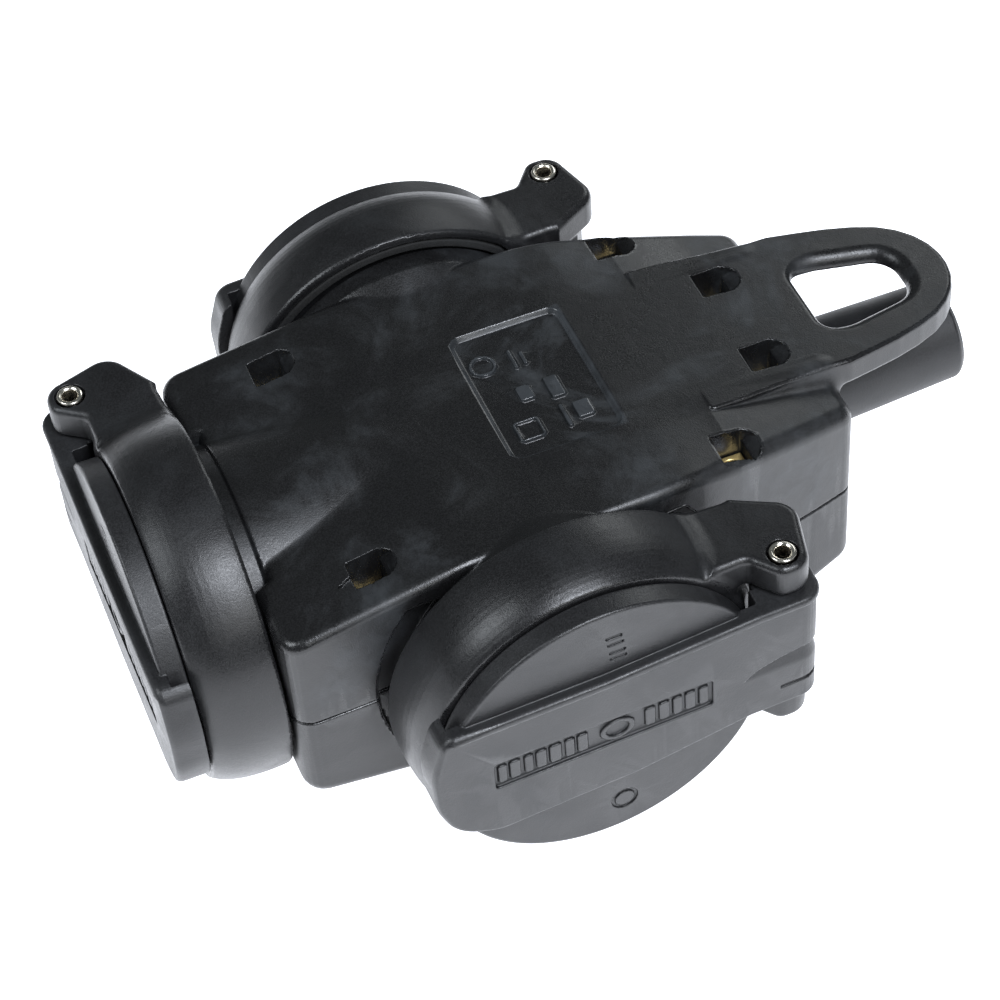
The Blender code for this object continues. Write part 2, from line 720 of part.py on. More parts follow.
# bus bars: name, lowest and highest z, rectangles as x0, y0, x1, y1
BUS_BARS = [
    ("live", 4.6, 5.8, [(BAR_X - 2.5, -15.5, BAR_X + 2.5, 15.5),
                        (-25.5, BAR_X - 2.5, BAR_X, BAR_X + 2.5)]),
    ("neutral", -5.8, -4.6, [(-BAR_X - 2.5, -15.5, -BAR_X + 2.5, 15.5),
                             (-25.5, -BAR_X - 2.4, -BAR_X, -BAR_X + 2.6),
                             (-BAR_X, -3.0, 27.5, 2.0)]),
    ("earth", -0.7, 0.7, [(-32.2, -2.2, 27.5, 2.2), (-2.2, -23.0, 2.2, 23.0)]),
]

BLOCK_X0, BLOCK_X1 = 28.0, 36.4
BLOCK_MID_X = (BLOCK_X0 + BLOCK_X1) / 2
TERMINAL_YS = (-5.6, 0.0, 5.6)
TERMINAL_Z = -1.2

CLAMP_X0, CLAMP_X1 = 38.6, 42.8
CLAMP_MID_X = (CLAMP_X0 + CLAMP_X1) / 2
CLAMP_FOOT_Z = 6.6
CLAMP_ARCH_Z = 2.9        # axis of the arch
CLAMP_SCREW_Y = 9.9


def build_bus_bars():
    for name, z0, z1, rectangles in BUS_BARS:
        bars = [box((x0, y0, z0), (x1, y1, z1)) for x0, y0, x1, y1 in rectangles]
        finish(join(*bars), name + "_bus_bar", "brass", smooth=False)


def build_terminal_block():
    block = box((BLOCK_X0, -8.6, -7.4), (BLOCK_X1, 8.6, 6.2))
    for y in TERMINAL_YS:
        cut(block, cyl_x(1.7, 20, 45, 10, y, TERMINAL_Z))
        cut(block, cyl(1.75, TERMINAL_Z, 20, 10, (BLOCK_MID_X, y)))
    finish(block, "terminal_block", "bakelite")
    for i, y in enumerate(TERMINAL_YS, 1):
        screw = cyl(1.4, 0.9, 5.8, 10, (BLOCK_MID_X, y))
        cut(screw, box((30, y - 0.25, 5.1), (35, y + 0.25, 8)))
        finish(screw, f"terminal_screw_{i}", "steel")


def build_cord_clamp():
    """Clamp over the cable, held by two screws."""
    clamp = box((CLAMP_X0, -12.2, CLAMP_FOOT_Z), (CLAMP_X1, 12.2, 9.6))
    arch = cyl_x(7.0, CLAMP_X0, CLAMP_X1, 24, 0, CLAMP_ARCH_Z)
    cut(arch, box((30, -20, -20), (50, 20, CLAMP_FOOT_Z)))
    join(clamp, arch)
    cut(clamp, cyl_x(4.6, 30, 50, 24, 0, CLAMP_ARCH_Z))
    screw_ys = [side * CLAMP_SCREW_Y for side in (-1, 1)]
    for y in screw_ys:
        cut(clamp, cyl(1.6, 0, 20, 14, (CLAMP_MID_X, y)))
    finish(clamp, "cord_clamp", "insert")
    for i, y in enumerate(screw_ys, 1):
        screw = cyl(1.3, -6, 10.4, 14, (CLAMP_MID_X, y))
        join(screw, cyl(2.4, 9.9, 11.5, 18, (CLAMP_MID_X, y)))
        cut(screw, box((37, y - 0.35, 10.9), (45, y + 0.35, 13)))
        finish(screw, f"cord_clamp_screw_{i}", "steel")


def build_nut(x, y, seat):
    half = NUT_W / 2
    nut = box((x - half, y - half, seat + 0.05), (x + half, y + half, seat + NUT_T))
    return cut(nut, cyl(SCREW_R + 0.25, 0, 30, 10, (x, y)))


def build_shell_screw(x, y, seat):
    """Shank, square neck and slotted head facing down."""
    screw = cyl(SCREW_R, -10.7, seat + NUT_T + 0.6, 8, (x, y))
    join(screw, box((x - 1.0, y - 1.0, -12.4), (x + 1.0, y + 1.0, -10.0)),
         cyl(SCREW_HEAD_R - 0.3, -13.25, -11.3, 10, (x, y), top_radius=SCREW_HEAD_R))
    return cut(screw, box((x - 5, y - 0.35, -20), (x + 5, y + 0.35, -12.5)))


# ---- build ---------------------------------------------------------------------------
finish(build_shell(upper=True), "upper_shell", "shell")
finish(build_shell(upper=False), "lower_shell", "shell")
for which in FRAMES:
    build_socket(which)
build_bus_bars()
build_terminal_block()
finish(place_sleeve(turned(SLEEVE_PROFILE, 24)), "cable_sleeve", "sleeve")
build_cord_clamp()
for number, station in enumerate(SCREWS, 1):
    finish(build_nut(*station), f"square_nut_{number}", "brass", smooth=False)
    finish(build_shell_screw(*station), f"shell_screw_{number}", "steel")

# move everything to the frame
for part in parts.objects:
    part.location.x -= CENTRE_X * MM
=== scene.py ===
"""A black power box with three round sockets under hinged lids.

Z is up.  The near socket faces -y, the far one +y and the front one -x.  The rear end (+x)
carries the cable sleeve and, at roof height, a plate with a hanging slot.  Solid pieces are
distance fields in millimetres, negative inside, written about the crossing of the socket axes.
"""
import json
import math

import bmesh
import bpy
import numpy as np
from mathutils import Matrix, Vector
from numpy import hypot, maximum, minimum


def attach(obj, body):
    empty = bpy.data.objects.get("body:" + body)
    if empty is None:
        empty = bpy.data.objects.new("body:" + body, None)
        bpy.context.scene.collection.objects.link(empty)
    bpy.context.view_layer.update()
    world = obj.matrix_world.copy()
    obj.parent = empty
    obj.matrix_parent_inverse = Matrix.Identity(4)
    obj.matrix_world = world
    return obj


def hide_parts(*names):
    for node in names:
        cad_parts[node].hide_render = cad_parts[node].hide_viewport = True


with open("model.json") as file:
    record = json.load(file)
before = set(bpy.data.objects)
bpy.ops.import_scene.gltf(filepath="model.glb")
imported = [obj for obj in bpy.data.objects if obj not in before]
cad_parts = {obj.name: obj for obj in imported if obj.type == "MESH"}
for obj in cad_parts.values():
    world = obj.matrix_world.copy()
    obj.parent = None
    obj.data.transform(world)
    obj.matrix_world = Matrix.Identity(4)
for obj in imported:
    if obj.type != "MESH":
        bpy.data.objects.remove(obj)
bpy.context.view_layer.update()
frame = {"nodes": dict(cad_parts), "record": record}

MM = 0.001
SHIFT_X = -11.85   # from the crossing of the socket axes to the CAD origin
SCENE = bpy.context.scene


# ---- combining and drawing fields ------------------------------------------------------
def join(first, second, radius):
    """Union with a fillet."""
    return (maximum(radius, minimum(first, second))
            - hypot(maximum(radius - first, 0), maximum(radius - second, 0)))


def meet(first, second, radius):
    """Intersection with a rounded edge."""
    return (minimum(-radius, maximum(first, second))
            + hypot(maximum(radius + first, 0), maximum(radius + second, 0)))


def cut(body, tool, radius):
    """Difference with a rounded edge."""
    return meet(body, -tool, radius)


def trim(body, tool):
    """Difference with a sharp edge."""
    return maximum(body, -tool)


def slab(value, low, high):
    return maximum(low - value, value - high)


def smooth_step(value, start, end):
    part = np.clip((value - start) / (end - start), 0, 1)
    return part * part * (3 - 2 * part)


def box(x, y, centre_x, centre_y, half_x, half_y, radius):
    """Rectangle with rounded corners."""
    over_x = np.abs(x - centre_x) - (half_x - radius)
    over_y = np.abs(y - centre_y) - (half_y - radius)
    outer = hypot(maximum(over_x, 0), maximum(over_y, 0))
    return outer + minimum(maximum(over_x, over_y), 0) - radius


def outline(x, y, points):
    """Signed distance to a closed outline."""
    points = np.asarray(points, float)
    x, y = np.broadcast_arrays(x, y)
    nearest = np.full(x.shape, 1e9)
    sign = np.ones(x.shape)
    for i in range(len(points)):
        start, end = points[i], points[i - 1]
        edge = end - start
        from_x, from_y = x - start[0], y - start[1]
        part = np.clip((from_x * edge[0] + from_y * edge[1]) / max(edge @ edge, 1e-9), 0, 1)
        gap = (from_x - edge[0] * part) ** 2 + (from_y - edge[1] * part) ** 2
        nearest = minimum(nearest, gap)
        above, below = y >= start[1], y < end[1]
        left = edge[0] * from_y > edge[1] * from_x
        sign = np.where((above & below & left) | (~above & ~below & ~left), -sign, sign)
    return sign * np.sqrt(nearest)


def rounded(rows, steps=6):
    """Outline points from corner rows of (x, y, corner radius)."""
    points = []
    for i, (x, y, radius) in enumerate(rows):
        corner = Vector((x, y))
        if radius <= 0:
            points.append((corner.x, corner.y))
            continue
        back = Vector(rows[i - 1][:2]) - corner
        ahead = Vector(rows[(i + 1) % len(rows)][:2]) - corner
        back_length, ahead_length = back.length, ahead.length
        back.normalize()
        ahead.normalize()
        angle = back.angle(ahead)
        if angle > math.pi - 0.02:
            points.append((corner.x, corner.y))
            continue
        setback = min(radius / math.tan(angle / 2), back_length * 0.49, ahead_length * 0.49)
        radius = setback * math.tan(angle / 2)
        centre = corner + (back + ahead).normalized() * (radius / math.sin(angle / 2))
        first, last = corner + back * setback - centre, corner + ahead * setback - centre
        start, end = math.atan2(first.y, first.x), math.atan2(last.y, last.x)
        sweep = (end - start + math.pi) % (2 * math.pi) - math.pi
        for j in range(steps + 1):
            turn = start + sweep * j / steps
            points.append((centre.x + radius * math.cos(turn),
                           centre.y + radius * math.sin(turn)))
    return points


def arc(centre_x, centre_y, radius, start, end, steps=9):
    """Points on an arc, with its angles in degrees."""
    turns = [math.radians(start + (end - start) * i / steps) for i in range(steps + 1)]
    return [(centre_x + radius * math.cos(turn), centre_y + radius * math.sin(turn))
            for turn in turns]


def mirrored(half):
    """Whole outline from the +y half's rows of (x, y, radius)."""
    return [(x, -y, radius) for x, y, radius in half] + half[::-1]


# ---- meshing: piece data is (points in mm, triangles, normals or None, wear) -------------
def surface_nets(values, origin, step):
    """Points and quads of the zero surface of a sampled field."""
    inside = values < 0
    cells = [count - 1 for count in values.shape]
    corners = [(i, j, k) for i in (0, 1) for j in (0, 1) for k in (0, 1)]
    filled = np.zeros(cells, np.uint8)
    for i, j, k in corners:
        filled += inside[i:cells[0] + i, j:cells[1] + j, k:cells[2] + k]
    mixed = (filled > 0) & (filled < 8)
    ids = np.full(cells, -1, np.int32)
    found = np.argwhere(mixed)
    ids[mixed] = np.arange(len(found), dtype=np.int32)
    at_corner = {(i, j, k): values[found[:, 0] + i, found[:, 1] + j, found[:, 2] + k].astype(float)
                 for i, j, k in corners}
    # each cell's point is the mean of the crossings on its edges
    points = np.zeros((len(found), 3))
    crossings = np.zeros(len(found))
    for corner in corners:
        for axis in range(3):
            if corner[axis]:
                continue
            other = list(corner)
            other[axis] = 1
            here, there = at_corner[corner], at_corner[tuple(other)]
            crossed = (here < 0) != (there < 0)
            part = np.where(crossed, here / np.where(crossed, here - there, 1), 0)
            for k in range(3):
                points[:, k] += np.where(crossed, corner[k] + (part if k == axis else 0), 0)
            crossings += crossed
    points = (found + points / crossings[:, None]) * step + np.asarray(origin)
    quads = []
    for axis in range(3):
        second, third = (axis + 1) % 3, (axis + 2) % 3
        lower, upper = [slice(1, -1)] * 3, [slice(1, -1)] * 3
        lower[axis], upper[axis] = slice(0, -1), slice(1, None)
        here, there = inside[tuple(lower)], inside[tuple(upper)]
        for leaving in (True, False):
            edges = np.argwhere((here != there) & (here == leaving))
            edges[:, second] += 1
            edges[:, third] += 1
            quad = []
            for j, k in ((-1, -1), (0, -1), (0, 0), (-1, 0)):
                cell = edges.copy()
                cell[:, second] += j
                cell[:, third] += k
                quad.append(ids[cell[:, 0], cell[:, 1], cell[:, 2]])
            quad = np.stack(quad, 1)
            quads.append(quad if leaving else quad[:, ::-1])
    return points, np.concatenate(quads)


def gradient(field, points, reach):
    slope = np.empty_like(points)
    for axis in range(3):
        offset = np.zeros(3)
        offset[axis] = reach
        slope[:, axis] = field(*(points + offset).T) - field(*(points - offset).T)
    return slope / (2 * reach)


def project(field, points, step):
    """Two limited Newton moves onto the field's surface."""
    for _ in range(2):
        value, slope = field(*points.T), gradient(field, points, 0.02)
        move = slope * (value / maximum((slope * slope).sum(1), 0.25))[:, None]
        length = np.linalg.norm(move, axis=1)
        points = points - move * minimum(1, 0.5 * step / maximum(length, 1e-9))[:, None]
    return points


def mesh_from(name, points, faces):
    mesh = bpy.data.meshes.new(name)
    mesh.vertices.add(len(points))
    mesh.vertices.foreach_set("co", np.ascontiguousarray(points, np.float32).ravel())
    mesh.loops.add(faces.size)
    mesh.loops.foreach_set("vertex_index", np.ascontiguousarray(faces, np.int32).ravel())
    mesh.polygons.add(len(faces))
    starts = np.arange(0, faces.size, faces.shape[1], dtype=np.int32)
    mesh.polygons.foreach_set("loop_start", starts)
    mesh.update(calc_edges=True)
    return mesh


def thinned(points, quads, triangles):
    """Points and faces decimated to about the given number of triangles."""
    mesh = mesh_from("field", points, quads)
    holder = bpy.data.objects.new("field_tmp", mesh)
    SCENE.collection.objects.link(holder)
    ratio = min(1.0, triangles / (2.0 * len(quads)))
    if ratio < 0.98:
        thin = holder.modifiers.new("thin", "DECIMATE")
        thin.ratio = ratio
        thin.use_collapse_triangulate = True
    graph = bpy.context.evaluated_depsgraph_get()
    result = bpy.data.meshes.new_from_object(holder.evaluated_get(graph))
    bpy.data.objects.remove(holder, do_unlink=True)
    bpy.data.meshes.remove(mesh)
    work = bmesh.new()
    work.from_mesh(result)
    bmesh.ops.triangulate(work, faces=work.faces[:])
    work.to_mesh(result)
    work.free()
    points = np.empty(len(result.vertices) * 3)
    result.vertices.foreach_get("co", points)
    faces = np.empty(len(result.polygons) * 3, np.int32)
    result.polygons.foreach_get("vertices", faces)
    bpy.data.meshes.remove(result)
    return points.reshape(-1, 3), faces.reshape(-1, 3)


def unit(vectors):
    return vectors / maximum(np.linalg.norm(vectors, axis=1), 1e-9)[:, None]


def field_normals(field, points, faces):
    """Normals from the field, but from the triangles beside large flats, so flats stay flat."""
    normals = unit(gradient(field, points, 0.05))
    first, second, third = (points[faces[:, k]] for k in range(3))
    face_normals = np.cross(second - first, third - first) / 2
    areas = np.linalg.norm(face_normals, axis=1)
    largest = np.zeros(len(points))
    for k in range(3):
        maximum.at(largest, faces[:, k], areas)
    flat_normals = np.zeros_like(points)
    for k in range(3):
        chosen = (areas > 0.4 * largest[faces[:, k]])[:, None]
        np.add.at(flat_normals, faces[:, k], face_normals * chosen)
    flat_normals = unit(flat_normals)
    agree = (flat_normals * normals).sum(1) > 0.6
    share = (smooth_step(largest, 0.35, 1.2) * agree)[:, None]
    return unit(normals * (1 - share) + flat_normals * share)


def edge_wear(field, points, reach=0.55):
    """Convexity: positive along outer edges, negative in corners."""
    wear = -6 * field(*points.T)
    for axis in range(3):
        offset = np.zeros(3)
        offset[axis] = reach
        wear = wear + field(*(points + offset).T) + field(*(points - offset).T)
    return wear / reach


def field_mesh(field, low, high, step, triangles):
    """Mesh a field between two corners, thin it, and put its points back on the surface."""
    axes = [np.arange(low[i] - 2 * step, high[i] + 2.5 * step, step) for i in range(3)]
    values = field(axes[0][:, None, None], axes[1][None, :, None], axes[2][None, None, :])
    values = np.broadcast_to(values, [len(axis) for axis in axes]).astype(np.float32)
    points, quads = surface_nets(values, [axis[0] for axis in axes], step)
    points, faces = thinned(project(field, points, step), quads, triangles)
    points = project(field, points, step * 0.6)
    return points, faces, field_normals(field, points, faces), edge_wear(field, points)


def spin_mesh(profile, segments):
    """Closed profile of (radius, height) swept round Z."""
    work = bmesh.new()
    verts = [work.verts.new((radius, 0, z)) for radius, z in profile]
    edges = [work.edges.new((verts[i], verts[(i + 1) % len(verts)])) for i in range(len(verts))]
    bmesh.ops.spin(work, geom=verts + edges, cent=(0, 0, 0), axis=(0, 0, 1),
                   angle=2 * math.pi, steps=segments, use_duplicate=False)
    bmesh.ops.remove_doubles(work, verts=work.verts[:], dist=1e-4)
    bmesh.ops.recalc_face_normals(work, faces=work.faces[:])
    bmesh.ops.triangulate(work, faces=work.faces[:])
    work.verts.index_update()
    points = np.array([vert.co[:] for vert in work.verts])
    faces = np.array([[vert.index for vert in face.verts] for face in work.faces], np.int32)
    work.free()
    return points, faces, None, np.zeros(len(points))


def ring_mesh(profile):
    """Profile of (radius, out) swept round a socket's outward axis."""
    points, *rest = spin_mesh(profile, 112)
    return np.stack([points[:, 0], points[:, 2], -points[:, 1]], 1), *rest


def tube_mesh(path, radius, segments=12):
    """Round wire along a path, with its ends tapered in."""
    tangents = np.gradient(path, axis=0)
    tangents /= np.linalg.norm(tangents, axis=1)[:, None]
    tip = radius * 0.35
    stations = [(path[0] - tangents[0] * tip, tangents[0], 0.5)]
    stations += [(point, tangent, 1.0) for point, tangent in zip(path, tangents)]
    stations += [(path[-1] + tangents[-1] * tip, tangents[-1], 0.5)]
    rings, normal = [], np.array([0, 0, 1.0])
    for point, tangent, scale in stations:
        normal = normal - tangent * (normal @ tangent)
        normal /= np.linalg.norm(normal)
        side = np.cross(tangent, normal)
        turn = np.arange(segments) * 2 * math.pi / segments
        rings.append(point + radius * scale * (np.cos(turn)[:, None] * normal
                                               + np.sin(turn)[:, None] * side))
    points = np.concatenate(rings)
    faces = []
    for i in range(len(rings) - 1):
        for j in range(segments):
            here, beside = i * segments + j, i * segments + (j + 1) % segments
            faces += [(here, beside, beside + segments),
                      (here, beside + segments, here + segments)]
    faces += [(0, j + 1, j) for j in range(1, segments - 1)]
    base = (len(rings) - 1) * segments
    faces += [(base, base + j, base + j + 1) for j in range(1, segments - 1)]
    faces = np.array(faces, np.int32)
    first, second, third = (points[faces[:, k]] for k in range(3))
    volume = (np.cross(second - first, third - first) * first).sum()
    return points, (faces if volume > 0 else faces[:, ::-1]), None, np.zeros(len(points))


# ---- dimensions shared by the pieces -----------------------------------------------------
# A socket's own frame is (side, out, z): side towards the hinge, out along the socket's axis.
SPLAY = math.radians(1.46)   # the side sockets lean by this much
COS, SIN = math.cos(SPLAY), math.sin(SPLAY)
SOCKETS = {   # rows of the side, out and z axes; origin
    "near": (np.array([[COS, SIN, 0], [SIN, -COS, 0], [0, 0, 1]]), np.zeros(3)),
    "far": (np.array([[COS, -SIN, 0], [SIN, COS, 0], [0, 0, 1]]), np.zeros(3)),
    "front": (np.array([[0, 1, 0], [-1, 0, 0], [0, 0, 1.0]]), np.array([-9.2, 0, 0])),
}
NECK_RADIUS = {"near": 25.7, "far": 25.7, "front": 24.0}
COLLAR_BORE = 22.75
SHELL_BORE = {"near": COLLAR_BORE, "far": COLLAR_BORE, "front": 22.45}
HOLLOW_END = {"near": 28.4, "far": 28.4, "front": 29.4}
ROOF_Z = 23.9
WALL = 2.6
SPLIT_GAP = 0.15             # from z = 0 to each shell's parting face
CLAMPS = [(-25.96, 23.54, 11.4), (35.12, 24.90, 14.8), (47.55, 9.34, 12.6)]  # x, +-y, nut z
SCREW_HOLE = 1.75
SLEEVE_BORE = 8.0

# body plan, +y half: x, y
BODY_HALF = [(-43.05, 17.6), (-43.05, 32.1), (-24, 31.7), (20, 30.8), (28, 30.0), (35, 28.9),
             (42, 27.3), (50, 25.4), (57.7, 23.3)]
# hanging plate plan, +y half: x, y
PLATE_HALF = [(34.9, 17.25), (41.5, 16.95), (49.1, 16.3), (56.8, 16.0), (60.3, 16.1),
              (65.7, 15.1), (70.1, 14.2), (74.6, 12.9), (78.5, 11.3), (81.3, 9.3), (83.5, 6.8),
              (84.9, 4.0), (85.5, 1.3)]
PLATE = rounded(mirrored([(x, y, 6 if i else 0.9) for i, (x, y) in enumerate(PLATE_HALF)]), 5)
# hanging slot: x, y, corner radius
SLOT = rounded([(59.9, -7.5, 4), (65.0, -7.4, 5), (77.6, -4.9, 4.6), (77.6, 4.9, 4.6),
                (65.0, 7.4, 5), (59.9, 7.5, 4)], 7)


def body_outline(inset=0.0):
    """Body plan moved inwards, with a shallow step in the front edge between the corners."""
    last = len(BODY_HALF) - 1
    radii = [0.8, max(3.6 - inset, 1.0)] + [0] * (last - 2) + [3.0]
    half = [(-40.6 + inset, 16.6, 0)]
    for i, (x, y) in enumerate(BODY_HALF):
        moved = x + inset if i < 2 else (x - inset if i == last else x)
        half.append((moved, y - (inset if i else 0), radii[i]))
    return rounded(mirrored(half))


BODY = body_outline()
CAVITY = body_outline(WALL)


def socket(which, x, y, z):
    """Distance out along a socket's axis, and radius about it."""
    axes, origin = SOCKETS[which]
    x, y = x - origin[0], y - origin[1]
    side = x * axes[0, 0] + y * axes[0, 1]
    return x * axes[1, 0] + y * axes[1, 1], hypot(side, z)


def sleeve_frame(x, y, z):
    """Distance along the tilted cable sleeve, and radius about it."""
    tilt = math.radians(1.6)
    run, rise = x - 51.6, z - 2.4
    along = run * math.cos(tilt) + rise * math.sin(tilt)
    return along, hypot(y, -run * math.sin(tilt) + rise * math.cos(tilt))


# ---- shells ------------------------------------------------------------------------------
def soft(value):
    """Zero turning smoothly into the value."""
    return (value + np.sqrt(value * value + 4.0)) / 2


def roof(x):
    return ROOF_Z - 0.172 * soft(-12.7 - x) - 0.05 * soft(x - 20.8)


def belly(x):
    return -(ROOF_Z - 0.172 * soft(-12.7 - x) - 0.20 * soft(x - 25.0))


def shoulder(x, y):
    """Fall of the rear shoulders below the roof line."""
    beside = np.abs(y)
    fall = 0.3 + 0.138 * maximum(x - 35.0, 0)
    past = beside - 16.0
    return smooth_step(x, 24.0, 35.5) * (fall * smooth_step(beside, 13.0, 17.5)
                                         + 0.04 * (past + np.sqrt(past * past + 2.0)) / 2)


def with_necks(x, y, z, body, cover):
    """Socket necks and the cavity; cover is the field of the cavity's roof or floor."""
    # relief ring round each side socket, then the conical neck
    for which in ("near", "far"):
        out, radius = socket(which, x, y, z)
        body = cut(body, maximum(maximum(radius - 29.9, 29.6 - out), z - 18.5), 0.45)
    for which in ("near", "far"):
        out, radius = socket(which, x, y, z)
        over = radius - NECK_RADIUS[which]
        cone = maximum(over, (over + 0.42 * (31.2 - out)) * 0.92)
        body = join(body, meet(cone, slab(out, 26.0, 35.6), 0.4), 0.25)
    # the front neck steps down once
    out, radius = socket("front", x, y, z)
    wide = radius - (NECK_RADIUS["front"] - 0.35 * smooth_step(-out, -6.0, 1.0))
    body = join(body, meet(wide, slab(out, -1.0, 31.3), 0.45), 0.35)
    body = join(body, meet(radius - 23.55, slab(out, 20.0, 35.6), 0.3), 0.3)
    # cavity, stopped at the sockets and leaving posts at the clamps
    hollow = maximum(outline(x, y, CAVITY), cover)
    for which in SOCKETS:
        hollow = maximum(hollow, socket(which, x, y, z)[0] - HOLLOW_END[which])
    for clamp_x, clamp_y, _ in CLAMPS:
        for sign in (-1, 1):
            hollow = trim(hollow, box(x, y, clamp_x, sign * clamp_y, 4.1, 4.1, 1.2))
    body = trim(body, hollow)
    for which in SOCKETS:
        out, radius = socket(which, x, y, z)
        body = trim(body, maximum(radius - SHELL_BORE[which], 23.0 - out))
    return body


def sleeve_hole(x, y, z):
    along, radius = sleeve_frame(x, y, z)
    return maximum(radius - SLEEVE_BORE, -along)


PANEL_PADS = [   # centre x, centre y, half x, half y, corner radius
    (10.6, 6.6, 0.35, 2.2, 0.3), (12.3, 6.2, 0.35, 1.5, 0.3), (9.6, -1.2, 1.2, 1.6, 0.4),
    (14.4, -1.8, 1.2, 2.4, 0.4), (13.6, -8.4, 0.35, 2.6, 0.3), (16.8, -8.2, 1.4, 1.8, 0.4)]


def panel_marks(x, y, z):
    """Plain raised pads, a ring and a square frame on the panel floor."""
    plan = np.abs(hypot(x - 5.6, y - 7.2) - 2.0) - 0.28
    plan = minimum(plan, np.abs(box(x, y, 7.2, -8.8, 2.0, 2.0, 0.6)) - 0.25)
    for pad in PANEL_PADS:
        plan = minimum(plan, box(x, y, *pad))
    return meet(plan, slab(z, 22.4, 23.45), 0.1)


def hanging_plate(x, y, z, roof_z):
    """Plate at roof level with a slot, and a step along its edge beyond the body."""
    plan = outline(x, y, PLATE)
    plate = meet(plan, (z - roof_z) * 0.998, 0.35 + 0.45 * smooth_step(x, 40, 60))
    plate = cut(plate, outline(x, y, SLOT), 1.3 + 1.1 * smooth_step(x, 59.0, 64.5))
    plate = meet(plate, (roof_z - 5.6) - z, 1.2)
    return cut(plate, maximum(maximum(plan + 2.4, z - (roof_z - 2.7)), 60.0 - x), 0.4)


def upper_shell(x, y, z):
    roof_z = roof(x)
    top = roof_z - shoulder(x, y)
    body = meet(outline(x, y, BODY), (z - top) * 0.985, 1.7 + 0.8 * smooth_step(x, 22.0, 34.0))
    fillet = (0.12 + 2.3 * smooth_step(x, 37.0, 58.0)) * smooth_step(np.abs(y), 12.0, 15.5)
    body = join(body, hanging_plate(x, y, z, roof_z), fillet)
    body = with_necks(x, y, z, body, z - (top - WALL))
    for i, (clamp_x, clamp_y, nut_z) in enumerate(CLAMPS):
        for sign in (-1, 1):
            pocket = box(x, y, clamp_x, sign * clamp_y, 2.8, 2.8, 0.35)
            body = cut(body, maximum(pocket, nut_z - z), 0.14)
            # round-ended facet sloping into the rear side of the pocket
            slope = (top - z - 1.35 * (clamp_x + 4.65 - x)) * 0.595
            lead = maximum(hypot(x - clamp_x - 1.85, y - sign * clamp_y) - 2.8, slope)
            body = cut(body, maximum(lead, clamp_x - 1.0 - x), 0.1)
            hole = hypot(x - clamp_x, y - sign * clamp_y) - SCREW_HOLE
            body = trim(body, maximum(hole, z - nut_z - 1))
        if i == 0:
            # wedge pointing to -x at the first near pocket
            wedge = np.abs(y + clamp_y + 0.9) - 0.42 * (x - (clamp_x - 5.3))
            wedge = maximum(wedge, x - clamp_x)
            body = cut(body, maximum(wedge, roof_z - 0.65 - z), 0.08)
    # recessed panel with a sloping border
    panel = box(x, y, 11.85, 0, 9.75, 14.5, 2.2)
    body = cut(body, maximum((panel + (ROOF_Z - z) * 0.7) * 0.82, 22.95 - z), 0.1)
    body = minimum(body, panel_marks(x, y, z))
    body = trim(body, sleeve_hole(x, y, z))
    return meet(body, SPLIT_GAP - z, 0.25)


def lower_shell(x, y, z):
    floor_z = belly(x)
    body = meet(outline(x, y, BODY), (floor_z - z) * 0.985, 2.7)
    body = with_necks(x, y, z, body, (floor_z + WALL) - z)
    # counterbores for the screw heads
    for clamp_x, clamp_y, _ in CLAMPS:
        for sign in (-1, 1):
            radius = hypot(x - clamp_x, y - sign * clamp_y)
            body = cut(body, maximum(radius - 3.2, z + 11.0), 0.3)
            body = trim(body, radius - SCREW_HOLE)
    body = trim(body, sleeve_hole(x, y, z))
    return meet(body, z + SPLIT_GAP, 0.25)


# ---- socket collar -----------------------------------------------------------------------
PIN_SIDE, PIN_OUT = 31.8, 48.2      # hinge pin's place
PIN_HOLE = 2.35
EAR_Z = ((15.2, 21.5), (-15.8, -9.5))
COLLAR_STEP = 28.3                  # radius of the collar's seat over the neck
COLLAR_FOOT, COLLAR_LIP = 35.95, 47.6
# radius, out
COLLAR_PROFILE = [
    (COLLAR_STEP, 34.4), (28.45, 34.25), (29.3, 34.2), (29.72, 34.32), (29.92, 34.7),
    (29.99, 35.3), (30.05, 36.2), (30.09, 37.2), (30.1, 38.2), (30.07, 39.4), (30.0, 40.6),
    (29.88, 41.8), (29.7, 43.0), (29.44, 44.1), (29.1, 45.15), (28.72, 46.05), (28.3, 46.85),
    (28.02, 47.25), (27.72, 47.5), (27.3, COLLAR_LIP), (22.95, COLLAR_LIP),
    (COLLAR_BORE, 47.4), (COLLAR_BORE, COLLAR_FOOT), (COLLAR_STEP, COLLAR_FOOT)]
# side, out
EAR = (rounded([(20, 47.2, 0), (26.4, 47.1, 2.0), (29.2, 52.0, 0)], 8)[:-1]
       + arc(31.2, 49.4, 2.6, 150, 90, 5) + arc(32.2, 48.5, 3.5, 90, 12)
       + arc(33.5, 41.7, 4.2, 12, -66) + arc(27.6, 28.6, 6.0, 74, 100, 5) + [(20, 34.2)])
WEB = [(26, 35.2), (33.6, 37.6), (35.4, 40.2), (35.4, 41.8), (26, 41.8)]


def pin_radius(side, out):
    return hypot(side - PIN_SIDE, out - PIN_OUT)


